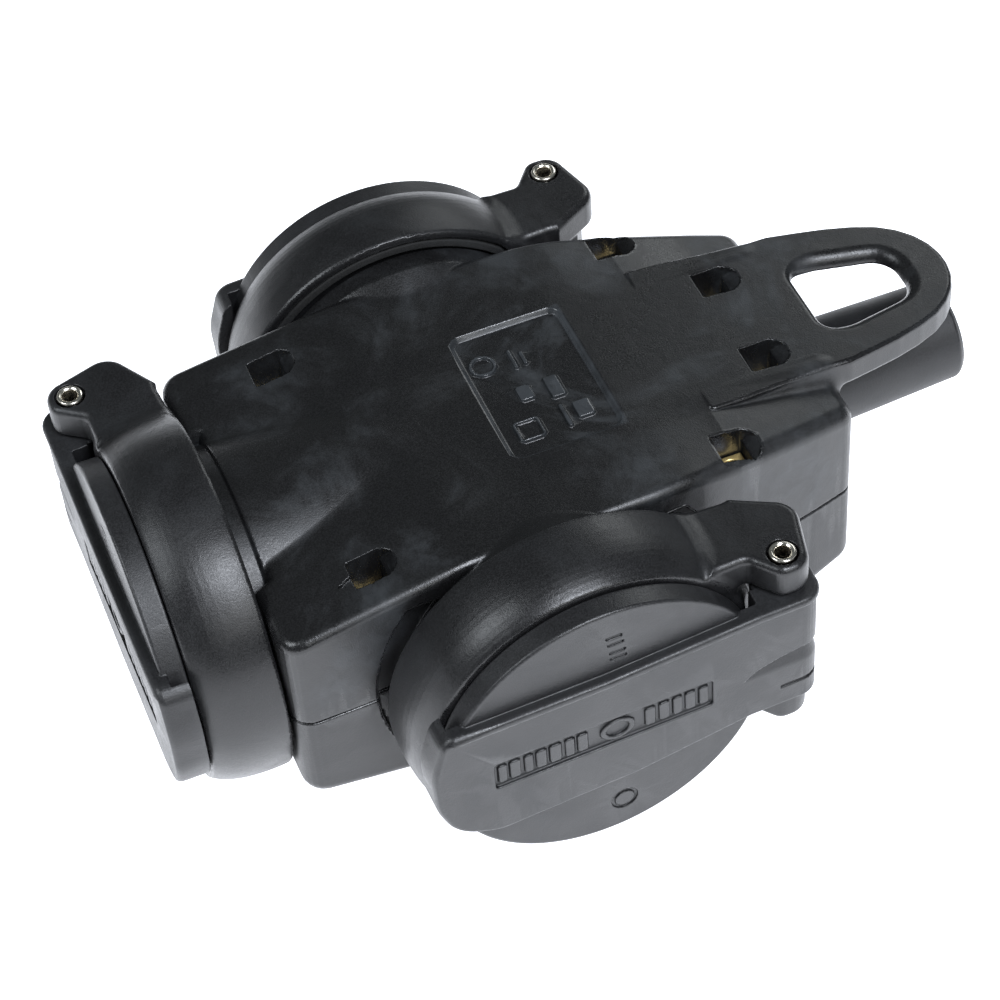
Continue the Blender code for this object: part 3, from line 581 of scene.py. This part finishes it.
def collar(side, out, z):
    radius = hypot(side, z)
    body = outline(radius, out, COLLAR_PROFILE)
    ear_plan = outline(side, out, EAR)
    for low, high in EAR_Z:
        ear = maximum(meet(ear_plan, slab(z, low, high), 1.25), 28.6 - radius)
        body = join(body, ear, 1.8)
    # web between the ears, behind the hinge barrel
    web = meet(outline(side, out, WEB), slab(z, -10.5, 16.2), 0.5)
    body = join(body, maximum(web, 28.6 - radius), 0.5)
    body = cut(body, maximum(radius - 28.5, COLLAR_LIP - out), 0.25)
    body = trim(body, radius - COLLAR_BORE)
    body = trim(body, maximum(radius - COLLAR_STEP, out - COLLAR_FOOT))
    # room for the barrel, the pin hole, and recesses for the rivet's ends
    pin = pin_radius(side, out)
    body = cut(body, maximum(pin - 5.85, slab(z, EAR_Z[1][1], EAR_Z[0][0])), 0.3)
    body = trim(body, pin - PIN_HOLE)
    body = cut(body, maximum(pin - 2.55, 20.7 - z), 0.12)
    return cut(body, maximum(pin - 2.55, z + 15.0), 0.12)


# ---- lid ---------------------------------------------------------------------------------
STRAP_LOW, STRAP_HIGH = -9.2, 14.9  # z of the strap and the hinge barrel
SPRING_Z = 2.85                     # midway up the barrel
LID_FACE, STRAP_FACE = 51.7, 53.7   # out
# radius, out, corner radius
LID_PROFILE = rounded([
    (-1, LID_FACE, 0), (27.1, LID_FACE, 0.55), (27.1, 47.7, 0.3), (24.4, 47.7, 0.3),
    (24.0, 49.6, 0.2), (18.6, 49.6, 0.2), (18.2, 47.9, 0.3), (-1, 47.9, 0)], 5)
# side, z, corner radius
STRAP = rounded([
    (60, STRAP_LOW, 0), (24, STRAP_LOW, 0), (4, -12.2, 6), (-20.0, -13.2, 9),
    (-26.9, -10.4, 9), (-29.5, -3.5, 12), (-29.8, 5.0, 14), (-27.3, 13.4, 3.2), (0, 13.4, 0),
    (25, STRAP_HIGH, 8), (60, STRAP_HIGH, 0)], 8)
# side, out, corner radius
STRAP_SECTION = rounded([(-45, 40, 0), (36.9, 40, 0), (36.9, STRAP_FACE, 3.8),
                         (-45, STRAP_FACE, 0)], 9)
# side, z, corner radius
LENS = rounded([
    (22.3, -0.3, 0.2), (25.3, 1.7, 3), (28.7, 2.7, 4), (32.0, 3.3, 4), (36.0, 3.5, 2),
    (42.0, 3.2, 0), (42.0, -0.3, 0), (36.0, -0.3, 2), (30.5, -0.6, 4), (26.0, -0.8, 4)], 4)
MARK_Z = 0.6
STRAP_PADS = [   # centre side, half width
    (-18.4, 0.75), (-16.3, 0.9), (-14.0, 0.75), (-11.9, 0.9), (-9.5, 1.0), (-7.1, 0.8),
    (-4.9, 0.9), (6.6, 0.9), (9.0, 0.9), (11.3, 0.8), (13.5, 0.9), (15.8, 0.8)]


def strap_marks(side, out, z):
    """A row of plain raised pads in the strap's long recess, with an oval ring between them."""
    oval = hypot((side - 1.0) / 1.25, z - MARK_Z)
    plan = maximum(oval - 2.35, 1.55 - oval)
    for centre, half_width in STRAP_PADS:
        plan = minimum(plan, box(side, z, centre, MARK_Z, half_width, 2.1, 0.5))
    return meet(plan, slab(out, 52.3, 53.2), 0.18)


def strap(side, out, z):
    front = outline(side, out, STRAP_SECTION)
    body = meet(outline(side, z, STRAP), front, 0.75 + 0.75 * smooth_step(-side, 18.0, 27.0))
    body = maximum(body, 47.9 - out)
    body = trim(body, maximum(np.abs(side) - 26.0, out - 50.7))
    # bead along the upper edge: the rest sits a little lower
    upper_edge = np.interp(side, [-40, 0, 25, 60], [13.4, 13.4, STRAP_HIGH, STRAP_HIGH])
    return front, cut(body, maximum(z - upper_edge + 1.35, -0.36 - front), 0.16)


def lid(side, out, z):
    body = outline(hypot(side, z), out, LID_PROFILE)
    front, band = strap(side, out, z)
    body = join(body, band, 0.2)
    pin = pin_radius(side, out)
    body = minimum(body, meet(pin - 5.1, slab(z, STRAP_LOW, STRAP_HIGH), 0.5))
    # room for the spring inside the barrel
    room = minimum(pin - 3.8, maximum(np.abs(side - PIN_SIDE) - 3.8, out - PIN_OUT))
    body = trim(body, maximum(room, slab(z, SPRING_Z - 4.2, SPRING_Z + 4.2)))
    # leaf-shaped recess over the hinge, deepest along its upper edge, and a groove below it
    depth = 0.15 + 1.15 * np.clip((z + 0.6) / 3.6, 0, 1)
    body = cut(body, maximum(outline(side, z, LENS), -depth - front), 0.12)
    groove = maximum(slab(side, 29.2, 45), slab(z, -5.15, -4.45))
    body = cut(body, maximum(groove, -0.8 - front), 0.08)
    body = trim(body, pin - PIN_HOLE)
    # long recess with its marks
    body = cut(body, maximum(box(side, z, -1.25, MARK_Z, 18.55, 3.0, 0.5), 52.75 - out), 0.12)
    body = minimum(body, strap_marks(side, out, z))
    # small sunk ring below the strap and sunk bars above it
    floor = LID_FACE - 0.35 - out
    ring = np.abs(hypot(side - 2.2, z + 20.3) - 2.0) - 0.3
    body = cut(body, maximum(ring, floor), 0.08)
    for bar_z in (21.2, 19.6, 17.6, 16.2):
        bar = box(side, z, 2.4 - 0.12 * (bar_z - 16), bar_z, 1.35, 0.3, 0.28)
        body = cut(body, maximum(bar, floor), 0.08)
    return body


# ---- insert, sleeve and fasteners --------------------------------------------------------
def insert(side, out, z):
    """Cup with two round holes, two side slots and two notches through its wall."""
    radius = hypot(side, z)
    body = meet(radius - 22.3, slab(out, 25.6, 46.0), 0.5)
    body = cut(body, maximum(radius - 19.6, 28.5 - out), 0.5)
    for sign in (-1, 1):
        slot = maximum(np.abs(side - sign * 19.7) - 1.2, np.abs(z) - 2.6)
        body = cut(body, maximum(slot, 29.5 - out), 0.2)
        body = cut(body, hypot(side - sign * 9.5, z) - 2.8, 0.35)
        notch = maximum(np.abs(z - sign * 19.15) - 1.55, np.abs(side) - 3.9)
        body = trim(body, maximum(notch, maximum(out - 44.6, 20 - out)))
    return body


# radius, distance along, corner radius
SLEEVE_PROFILE = rounded([
    (4.4, 34.8, 0.5), (7.7, 34.8, 0.8), (8.6, 33.9, 0.8), (9.4, 6.75, 0.2), (7.6, 6.75, 0.2),
    (7.6, 2.7, 0.2), (10.4, 2.7, 0.2), (10.4, 0.6, 0.3), (4.4, 0.6, 0.3)], 5)


def sleeve(x, y, z):
    along, radius = sleeve_frame(x, y, z)
    return outline(radius, along, SLEEVE_PROFILE)


def nut(x, y, z):
    body = meet(box(x, y, 0, 0, 2.6, 2.6, 0.3), slab(z, 0.05, 2.2), 0.18)
    return cut(body, hypot(x, y) - 1.7, 0.25)


def screw(x, y, z, top):
    """Threaded shank up to top, with a slotted head at the bottom."""
    radius = hypot(x, y)
    pitch = 0.8
    wave = 0.5 + 0.5 * np.cos(z * 2 * math.pi / pitch + np.arctan2(y, x))
    body = meet(radius - (1.45 - 0.12 * wave), slab(z, -11.5, top), 0.25)
    body = minimum(body, meet(radius - 2.85, slab(z, -13.25, -11.35), 0.45))
    return cut(body, maximum(np.abs(y) - 0.35, z + 12.5), 0.08)


# ---- rivet, spring and seals -------------------------------------------------------------
# radius, z, corner radius
RIVET_PROFILE = rounded([
    (1.95, -15.2, 0.1), (1.95, 20.9, 0.1), (2.1, 21.0, 0.15), (2.24, 21.25, 0.2),
    (2.1, 21.65, 0.3), (1.7, 21.8, 0.3), (1.3, 21.5, 0.3), (1.18, 20.6, 0.3),
    (1.18, -15.0, 0.3), (1.55, -15.95, 0.3), (2.0, -15.9, 0.2), (2.2, -15.6, 0.1),
    (2.2, -15.3, 0.1)], 4)
# radius, out, corner radius
GASKET_PROFILE = rounded([
    (23.7, 49.3, 0.2), (23.7, 48.1, 0.3), (22.3, 47.8, 0.5), (21.8, 46.4, 0.7),
    (20.2, 46.4, 0.7), (18.9, 48.1, 0.3), (18.9, 49.3, 0.2)], 4)
PIN = np.array([PIN_SIDE, PIN_OUT, 0])


def rivet_mesh():
    points, *rest = spin_mesh(RIVET_PROFILE, 64)
    return points + PIN, *rest


def spring_mesh():
    """Coil round the pin with a short straight leg at each end, slim enough for its room."""
    coil_radius, turns, pitch, wire_radius = 2.95, 5.75, 1.15, 0.45
    turn = np.linspace(0, 2 * math.pi * turns, int(turns * 28) + 1)
    path = np.stack([coil_radius * np.cos(turn), coil_radius * np.sin(turn),
                     SPRING_Z - 3.3 + pitch * turn / (2 * math.pi)], 1)
    leaving = np.array([-math.sin(turn[-1]), math.cos(turn[-1]), 0])
    path = np.concatenate([[path[0] + np.array([0, -0.9, 0])], path, [path[-1] + leaving * 1.0]])
    return tube_mesh(path + PIN, wire_radius)


def neck_ring_mesh(inner):
    return ring_mesh(rounded([(28.0, 35.65, 0.15), (27.7, 34.6, 0.4), (inner + 0.2, 34.6, 0.4),
                              (inner, 35.65, 0.15)], 4))


# ---- materials ---------------------------------------------------------------------------
class Shader:
    """A material with its node tree and short ways to add nodes."""

    def __init__(self, name):
        self.material = bpy.data.materials.new(name)
        self.material.use_nodes = True
        self.tree = self.material.node_tree
        self.inputs = self.tree.nodes["Principled BSDF"].inputs
        self.place = self.node("TexCoord").outputs["Object"]

    def node(self, kind):
        return self.tree.nodes.new("ShaderNode" + kind)

    def feed(self, target, value):
        """Link an output, or set a number or a colour."""
        if isinstance(value, bpy.types.NodeSocket):
            self.tree.links.new(value, target)
        else:
            target.default_value = (*value, 1) if isinstance(value, tuple) else value

    def noise(self, scale, detail, rough, distortion=0.0, place=None):
        node = self.node("TexNoise")
        node.inputs["Scale"].default_value = scale
        node.inputs["Detail"].default_value = detail
        node.inputs["Roughness"].default_value = rough
        node.inputs["Distortion"].default_value = distortion
        self.feed(node.inputs["Vector"], place or self.place)
        return node.outputs["Fac"]

    def ramp(self, value, start, end, low=0.0, high=1.0):
        """Smooth change from low to high as the value goes from start to end."""
        node = self.node("MapRange")
        node.interpolation_type = "SMOOTHSTEP"
        node.inputs["From Min"].default_value = start
        node.inputs["From Max"].default_value = end
        node.inputs["To Min"].default_value = low
        node.inputs["To Max"].default_value = high
        self.feed(node.inputs["Value"], value)
        return node.outputs["Result"]

    def math(self, operation, *values, clamp=False):
        node = self.node("Math")
        node.operation = operation
        node.use_clamp = clamp
        for i, value in enumerate(values):
            self.feed(node.inputs[i], value)
        return node.outputs[0]

    def times(self, first, second, clamp=False):
        return self.math("MULTIPLY", first, second, clamp=clamp)

    def mix(self, share, first, second):
        node = self.node("Mix")
        node.data_type = "RGBA"
        for i, value in ((0, share), (6, first), (7, second)):
            self.feed(node.inputs[i], value)
        return node.outputs[2]

    def stretched(self, scale, rotation=(0, 0, 0)):
        node = self.node("Mapping")
        node.inputs["Rotation"].default_value = rotation
        node.inputs["Scale"].default_value = scale
        self.feed(node.inputs["Vector"], self.place)
        return node.outputs[0]

    def bump(self, height, strength, distance, normal=None):
        node = self.node("Bump")
        node.inputs["Strength"].default_value = strength
        node.inputs["Distance"].default_value = distance
        self.feed(node.inputs["Height"], height)
        if normal:
            self.feed(node.inputs["Normal"], normal)
        return node.outputs["Normal"]


# pale tint for dust, also used as the colour of the painted highlight on the panel's border and
# marks
DUST_AND_HIGHLIGHT = (0.05, 0.055, 0.06)


def panel_finish_and_highlight(shader, colour, rough, big, mid, tint):
    """Smoother finish and paler dust patches in the recessed panel, with a painted highlight on
    its sloped border and raised marks; the limits are metres from its centre.
    """
    split = shader.node("SeparateXYZ")
    shader.feed(split.inputs[0], shader.place)
    in_x = shader.ramp(shader.math("ABSOLUTE", split.outputs["X"]), 0.0103, 0.0096)
    in_y = shader.ramp(shader.math("ABSOLUTE", split.outputs["Y"]), 0.0150, 0.0143)
    below = shader.ramp(split.outputs["Z"], 0.02389, 0.02380)
    panel = shader.times(shader.times(in_x, in_y), below, clamp=True)
    # painted highlight: the sloped border and the raised marks are made paler, more in some
    # patches
    painted_highlight = shader.times(panel, shader.ramp(split.outputs["Z"], 0.02299, 0.02312))
    painted_highlight = shader.times(painted_highlight, shader.ramp(mid, 0.3, 0.65, low=0.35, high=0.8))
    colour = shader.mix(painted_highlight, colour, tint)
    patches = shader.times(panel, shader.ramp(big, 0.45, 0.6, low=0.02, high=0.35))
    colour = shader.mix(patches, colour, tint)
    return colour, shader.math("SUBTRACT", rough, shader.times(panel, 0.05))


def plastic(name, base, rough, grain, smudge=0.0, scuff=0.0, polish=0.2, tint=DUST_AND_HIGHLIGHT, panel=False):
    """Moulded plastic: fine grain, dull patches, dust smudges, scratches, rubbed edges, and on the
    panel a painted highlight on its border and marks.
    """
    shader = Shader(name)
    ramp, times, mix = shader.ramp, shader.times, shader.mix
    big = shader.noise(scale=42, detail=5, rough=0.62, distortion=1.1)
    mid = shader.noise(scale=260, detail=4, rough=0.6, distortion=0.5)
    fine = shader.noise(scale=3800.0, detail=2, rough=0.6)
    darker, lighter = tuple(c * 0.7 for c in base), tuple(c * 1.45 for c in base)
    colour = mix(ramp(fine, 0.32, 0.68), darker, lighter)
    if smudge:
        share = times(ramp(big, 0.46, 0.66), ramp(mid, 0.3, 0.7, low=0.25))
        colour = mix(times(share, smudge, clamp=True), colour, tint)
    attribute = shader.node("Attribute")
    attribute.attribute_name = "wear"
    wear = attribute.outputs["Fac"]
    edges = times(ramp(wear, 0.12, 0.7), ramp(mid, 0.25, 0.6, low=0.4), clamp=True)
    # dust gathers in corners, and outer edges are rubbed pale
    corners = times(ramp(wear, -0.35, -1.4), ramp(mid, 0.4, 0.7), clamp=True)
    colour = mix(times(corners, 0.25), colour, tint)
    rubbed = tuple(min(1, c * 3.2 + 0.02) for c in base)
    colour = mix(times(edges, 0.12), colour, rubbed)
    # roughness varies in patches and grains and drops where edges are polished
    gloss = ramp(big, 0.3, 0.7, low=rough - 0.07, high=rough + 0.08)
    gloss = shader.math("ADD", gloss, ramp(fine, 0.3, 0.7, low=-0.05, high=0.05))
    gloss = shader.math("SUBTRACT", gloss, times(edges, polish))
    height = times(fine, grain)
    if panel:
        # paler dust patches, and a painted highlight on the panel's border and marks
        colour, gloss = panel_finish_and_highlight(shader, colour, gloss, big, mid, tint)
    if scuff:
        # fine straight scratches in two directions
        for turn, scale in ((0.5, 1.0), (2.0, 0.8)):
            place = shader.stretched((60 * scale, 2600 * scale, 800), rotation=(0, 0, turn))
            lines = shader.noise(scale=1.0, detail=2, rough=0.5, place=place)
            lines = times(ramp(lines, 0.70, 0.80), ramp(mid, 0.5, 0.7))
            colour = mix(times(lines, scuff), colour, tint)
            gloss = shader.math("ADD", gloss, times(lines, 0.12))
    shader.feed(shader.inputs["Base Color"], colour)
    shader.feed(shader.inputs["Roughness"], gloss)
    normal = shader.bump(height, strength=1.0, distance=0.00005)
    normal = shader.bump(mid, strength=0.5, distance=0.0001, normal=normal)
    shader.feed(shader.inputs["Normal"], normal)
    return shader.material


def metal(name, base, rough, brushed, tarnish, amount):
    """Metal with tarnished patches and fine lines across z."""
    shader = Shader(name)
    big = shader.noise(scale=300, detail=4, rough=0.6, distortion=0.4)
    fine = shader.noise(scale=4000, detail=2, rough=0.5)
    place = shader.stretched((300, 300, 9000))
    lines = shader.noise(scale=1.0, detail=3, rough=0.6, place=place)
    share = shader.times(shader.ramp(big, 0.45, 0.75), amount)
    colour = shader.mix(share, base, tarnish)
    gloss = shader.ramp(big, 0.3, 0.7, low=rough - 0.05, high=rough + 0.1)
    streaks = shader.ramp(lines, 0.3, 0.7, low=-brushed, high=brushed)
    gloss = shader.math("ADD", gloss, streaks)
    shader.feed(shader.inputs["Base Color"], colour)
    shader.feed(shader.inputs["Roughness"], gloss)
    shader.inputs["Metallic"].default_value = 1.0
    height = shader.math("ADD", shader.times(lines, 1.0), shader.times(fine, 0.4))
    normal = shader.bump(height, strength=0.35, distance=0.00003)
    shader.feed(shader.inputs["Normal"], normal)
    return shader.material


# each finish is a material and its slot name
SHELL_TOP = (plastic("shell_plastic", (0.0065, 0.0065, 0.0069), rough=0.36, grain=0.55,
                     smudge=0.45, scuff=0.35, panel=True), "shell_black")
SHELL_LOW = (plastic("shell_plastic_lower", (0.0085, 0.0085, 0.009), rough=0.42, grain=0.55,
                     smudge=0.2, scuff=0.15), "shell_black")
COLLAR = (plastic("collar_plastic", (0.0075, 0.0075, 0.0081), rough=0.37, grain=0.5,
                  smudge=0.12, polish=0.1), "collar_black")
LID = (plastic("lid_plastic", (0.011, 0.011, 0.0118), rough=0.42, grain=0.8, smudge=0.15,
               polish=0.06), "lid_black")
INSERT = (plastic("insert_plastic", (0.022, 0.022, 0.024), rough=0.4, grain=0.3), "insert_grey")
RUBBER = (plastic("seal_rubber", (0.014, 0.014, 0.014), rough=0.75, grain=0.9, smudge=0.25),
          "rubber_black")
SLEEVE = (plastic("sleeve_rubber", (0.011, 0.011, 0.0118), rough=0.5, grain=0.7, smudge=0.15),
          "sleeve_black")
CREAM = plastic("terminal_plastic", (0.5, 0.47, 0.41), rough=0.45, grain=0.3, smudge=0.1,
                tint=(0.3, 0.28, 0.24))
BRASS = (metal("stamped_brass", (0.72, 0.55, 0.24), rough=0.34, brushed=0.06,
               tarnish=(0.34, 0.22, 0.08), amount=0.5), "brass")
NICKEL = (metal("nickel_tube", (0.78, 0.74, 0.66), rough=0.2, brushed=0.04,
                tarnish=(0.5, 0.42, 0.3), amount=0.25), "nickel")
STEEL = (metal("zinc_steel", (0.56, 0.57, 0.6), rough=0.34, brushed=0.06,
               tarnish=(0.3, 0.3, 0.32), amount=0.3), "spring_steel")

# ---- placing the pieces ------------------------------------------------------------------
BODY_OF = {node: body for body, nodes in frame["record"]["behaviour"]["bodies"].items()
           for node in nodes}


def stand_in(name, data, node, finish, which=None, at=(0, 0, 0)):
    """Finished piece that replaces one CAD node and rides on that node's body."""
    axes, origin = SOCKETS[which] if which else (np.eye(3), np.array(at, float))
    points, faces, normals, wear = data
    points = points @ axes + (origin + np.array([SHIFT_X, 0, 0]))
    if np.linalg.det(axes) < 0:
        faces = faces[:, ::-1]
    mesh = mesh_from(name, points * MM, faces)
    mesh.shade_smooth()
    if normals is None:
        mesh.set_sharp_from_angle(angle=math.radians(40))
    else:
        normals = (normals @ axes).astype(np.float32)
        mesh.normals_split_custom_set_from_vertices(normals.tolist())
    attribute = mesh.attributes.new("wear", "FLOAT", "POINT")
    attribute.data.foreach_set("value", wear.astype(np.float32))
    piece = bpy.data.objects.new(name, mesh)
    SCENE.collection.objects.link(piece)
    material, slot = finish
    mesh.materials.append(material)
    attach(piece, BODY_OF[node])
    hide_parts(node)


stand_in("box_upper_shell", field_mesh(upper_shell, (-45, -34, -0.5), (87.5, 34, 26),
                                       step=0.36, triangles=150000), "upper_shell", SHELL_TOP)
stand_in("box_lower_shell", field_mesh(lower_shell, (-45, -37, -26), (59, 37, 0.5),
                                       step=0.45, triangles=70000), "lower_shell", SHELL_LOW)

SOCKET_PIECES = [   # piece name, data, CAD node, finish
    ("collar_moulding", field_mesh(collar, (-31, 33.5, -31), (42, 53, 31), step=0.32,
                                   triangles=60000), "collar", COLLAR),
    ("lid_moulding", field_mesh(lid, (-30.5, 42, -28), (38.5, 54.2, 28), step=0.28,
                                triangles=70000), "lid", LID),
    ("insert_moulding", field_mesh(insert, (-23, 25, -23), (23, 46.5, 23), step=0.4,
                                   triangles=30000), "socket_insert", INSERT),
    ("rivet_tube", rivet_mesh(), "hinge_rivet", NICKEL),
    ("torsion_spring", spring_mesh(), "lid_spring", STEEL),
    ("lid_seal", ring_mesh(GASKET_PROFILE), "lid_gasket", RUBBER),
]
for which in SOCKETS:
    for label, data, node, finish in SOCKET_PIECES:
        stand_in(f"{which}_{label}", data, f"{which}_{node}", finish, which)
    stand_in(which + "_collar_seal", neck_ring_mesh(NECK_RADIUS[which] + 0.3),
             which + "_neck_ring", RUBBER, which)

stand_in("rear_cable_sleeve", field_mesh(sleeve, (51, -11, -9), (87.5, 11, 15), step=0.36,
                                         triangles=30000), "cable_sleeve", SLEEVE)
nut_data = field_mesh(nut, (-3, -3, -0.3), (3, 3, 2.5), step=0.14, triangles=6000)
number = 0
for clamp_x, clamp_y, nut_z in CLAMPS:
    screw_data = field_mesh(lambda x, y, z: screw(x, y, z, nut_z + 1.9), (-3.2, -3.2, -13.6),
                            (3.2, 3.2, nut_z + 3.2), step=0.18, triangles=9000)
    for sign in (-1, 1):
        number += 1
        stand_in(f"clamp_nut_{number}", nut_data, f"square_nut_{number}", BRASS,
                 at=(clamp_x, sign * clamp_y, nut_z))
        stand_in(f"clamp_screw_{number}", screw_data, f"shell_screw_{number}", STEEL,
                 at=(clamp_x, sign * clamp_y, 0))

# the CAD nodes that stay visible are inside parts
for name, node in frame["nodes"].items():
    if node.hide_render:
        continue
    if "contact" in name or "clip" in name or "bus_bar" in name:
        material = BRASS[0]
    elif "terminal_block" in name:
        material = CREAM
    elif "screw" in name:
        material = STEEL[0]
    else:
        material = INSERT[0]
    node.data.materials.clear()
    node.data.materials.append(material)


# ---- floor, light and camera -------------------------------------------------------------
def add_floor():
    """Pale floor whose glow fades away from the box."""
    mesh = bpy.data.meshes.new("studio_floor")
    work = bmesh.new()
    bmesh.ops.create_grid(work, x_segments=8, y_segments=8, size=3.0)
    work.to_mesh(mesh)
    work.free()
    floor = bpy.data.objects.new("studio_floor", mesh)
    floor.location = (0, 0, -30.15 * MM)
    SCENE.collection.objects.link(floor)
    shader = Shader("pale_floor")
    shader.feed(shader.inputs["Base Color"], (0.92, 0.92, 0.92))
    shader.feed(shader.inputs["Roughness"], 0.9)
    shader.feed(shader.inputs["Emission Color"], (0.95, 0.97, 1.03))
    shader.feed(shader.inputs["Specular IOR Level"], 0.1)
    length = shader.node("VectorMath")
    length.operation = "LENGTH"
    shader.feed(length.inputs[0], shader.place)
    glow = shader.ramp(length.outputs["Value"], 0.3, 1.0, low=1.35, high=0.5)
    shader.feed(shader.inputs["Emission Strength"], glow)
    mesh.materials.append(shader.material)


add_floor()

world = bpy.data.worlds.new("studio")
SCENE.world = world
world.use_nodes = True
background = world.node_tree.nodes["Background"]
background.inputs["Color"].default_value = (0.9, 0.98, 1.0, 1)
background.inputs["Strength"].default_value = 0.12

LIGHTS = [   # name, place in metres, width, height, watts, colour; all aim at the origin
    ("front_box", (0.14, -0.60, 0.98), 0.34, 0.44, 12.0, (0.88, 0.92, 1.0)),
    ("left_box", (-0.78, 0.0, 0.80), 0.45, 0.5, 5.0, (0.90, 0.95, 1.0)),
    ("low_front_box", (0.20, -0.95, 0.62), 0.7, 0.3, 2.4, (0.97, 0.99, 1.0)),
    ("rear_box", (0.72, 0.72, 0.62), 0.5, 0.4, 1.8, (0.94, 0.98, 1.0)),
]
for name, place, width, height, power, colour in LIGHTS:
    light = bpy.data.lights.new(name, "AREA")
    light.shape = "RECTANGLE"
    light.size = width
    light.size_y = height
    light.energy = power
    light.color = colour
    lamp = bpy.data.objects.new(name, light)
    lamp.location = place
    lamp.rotation_mode = "QUATERNION"
    lamp.rotation_quaternion = (Vector((0, 0, 0)) - Vector(place)).to_track_quat("-Z", "Y")
    SCENE.collection.objects.link(lamp)

# camera: direction in degrees, then its distance and sideways and upward shifts in mm
AZIMUTH, ELEVATION, ROLL = (math.radians(angle) for angle in (-18.16, 48.65, -5.30))
DISTANCE, SHIFT_RIGHT, SHIFT_UP = 493.62, 3.88, 0.36


def add_camera():
    back = Vector((math.sin(AZIMUTH) * math.cos(ELEVATION),
                   -math.cos(AZIMUTH) * math.cos(ELEVATION), math.sin(ELEVATION)))
    ahead = -back
    level = ahead.cross(Vector((0, 0, 1))).normalized()
    upright = level.cross(ahead)
    right = math.cos(ROLL) * level + math.sin(ROLL) * upright
    top = -math.sin(ROLL) * level + math.cos(ROLL) * upright
    place = back * DISTANCE + right * SHIFT_RIGHT + top * SHIFT_UP + Vector((SHIFT_X, 0, 0))
    lens = bpy.data.cameras.new("camera")
    lens.sensor_width = 36
    lens.lens = 107.15
    lens.clip_start = 0.01
    lens.clip_end = 20
    camera = bpy.data.objects.new("camera", lens)
    matrix = Matrix((right, top, back)).transposed().to_4x4()
    matrix.translation = place * MM
    camera.matrix_world = matrix
    SCENE.collection.objects.link(camera)
    SCENE.camera = camera


add_camera()
SCENE.view_settings.view_transform = "Standard"
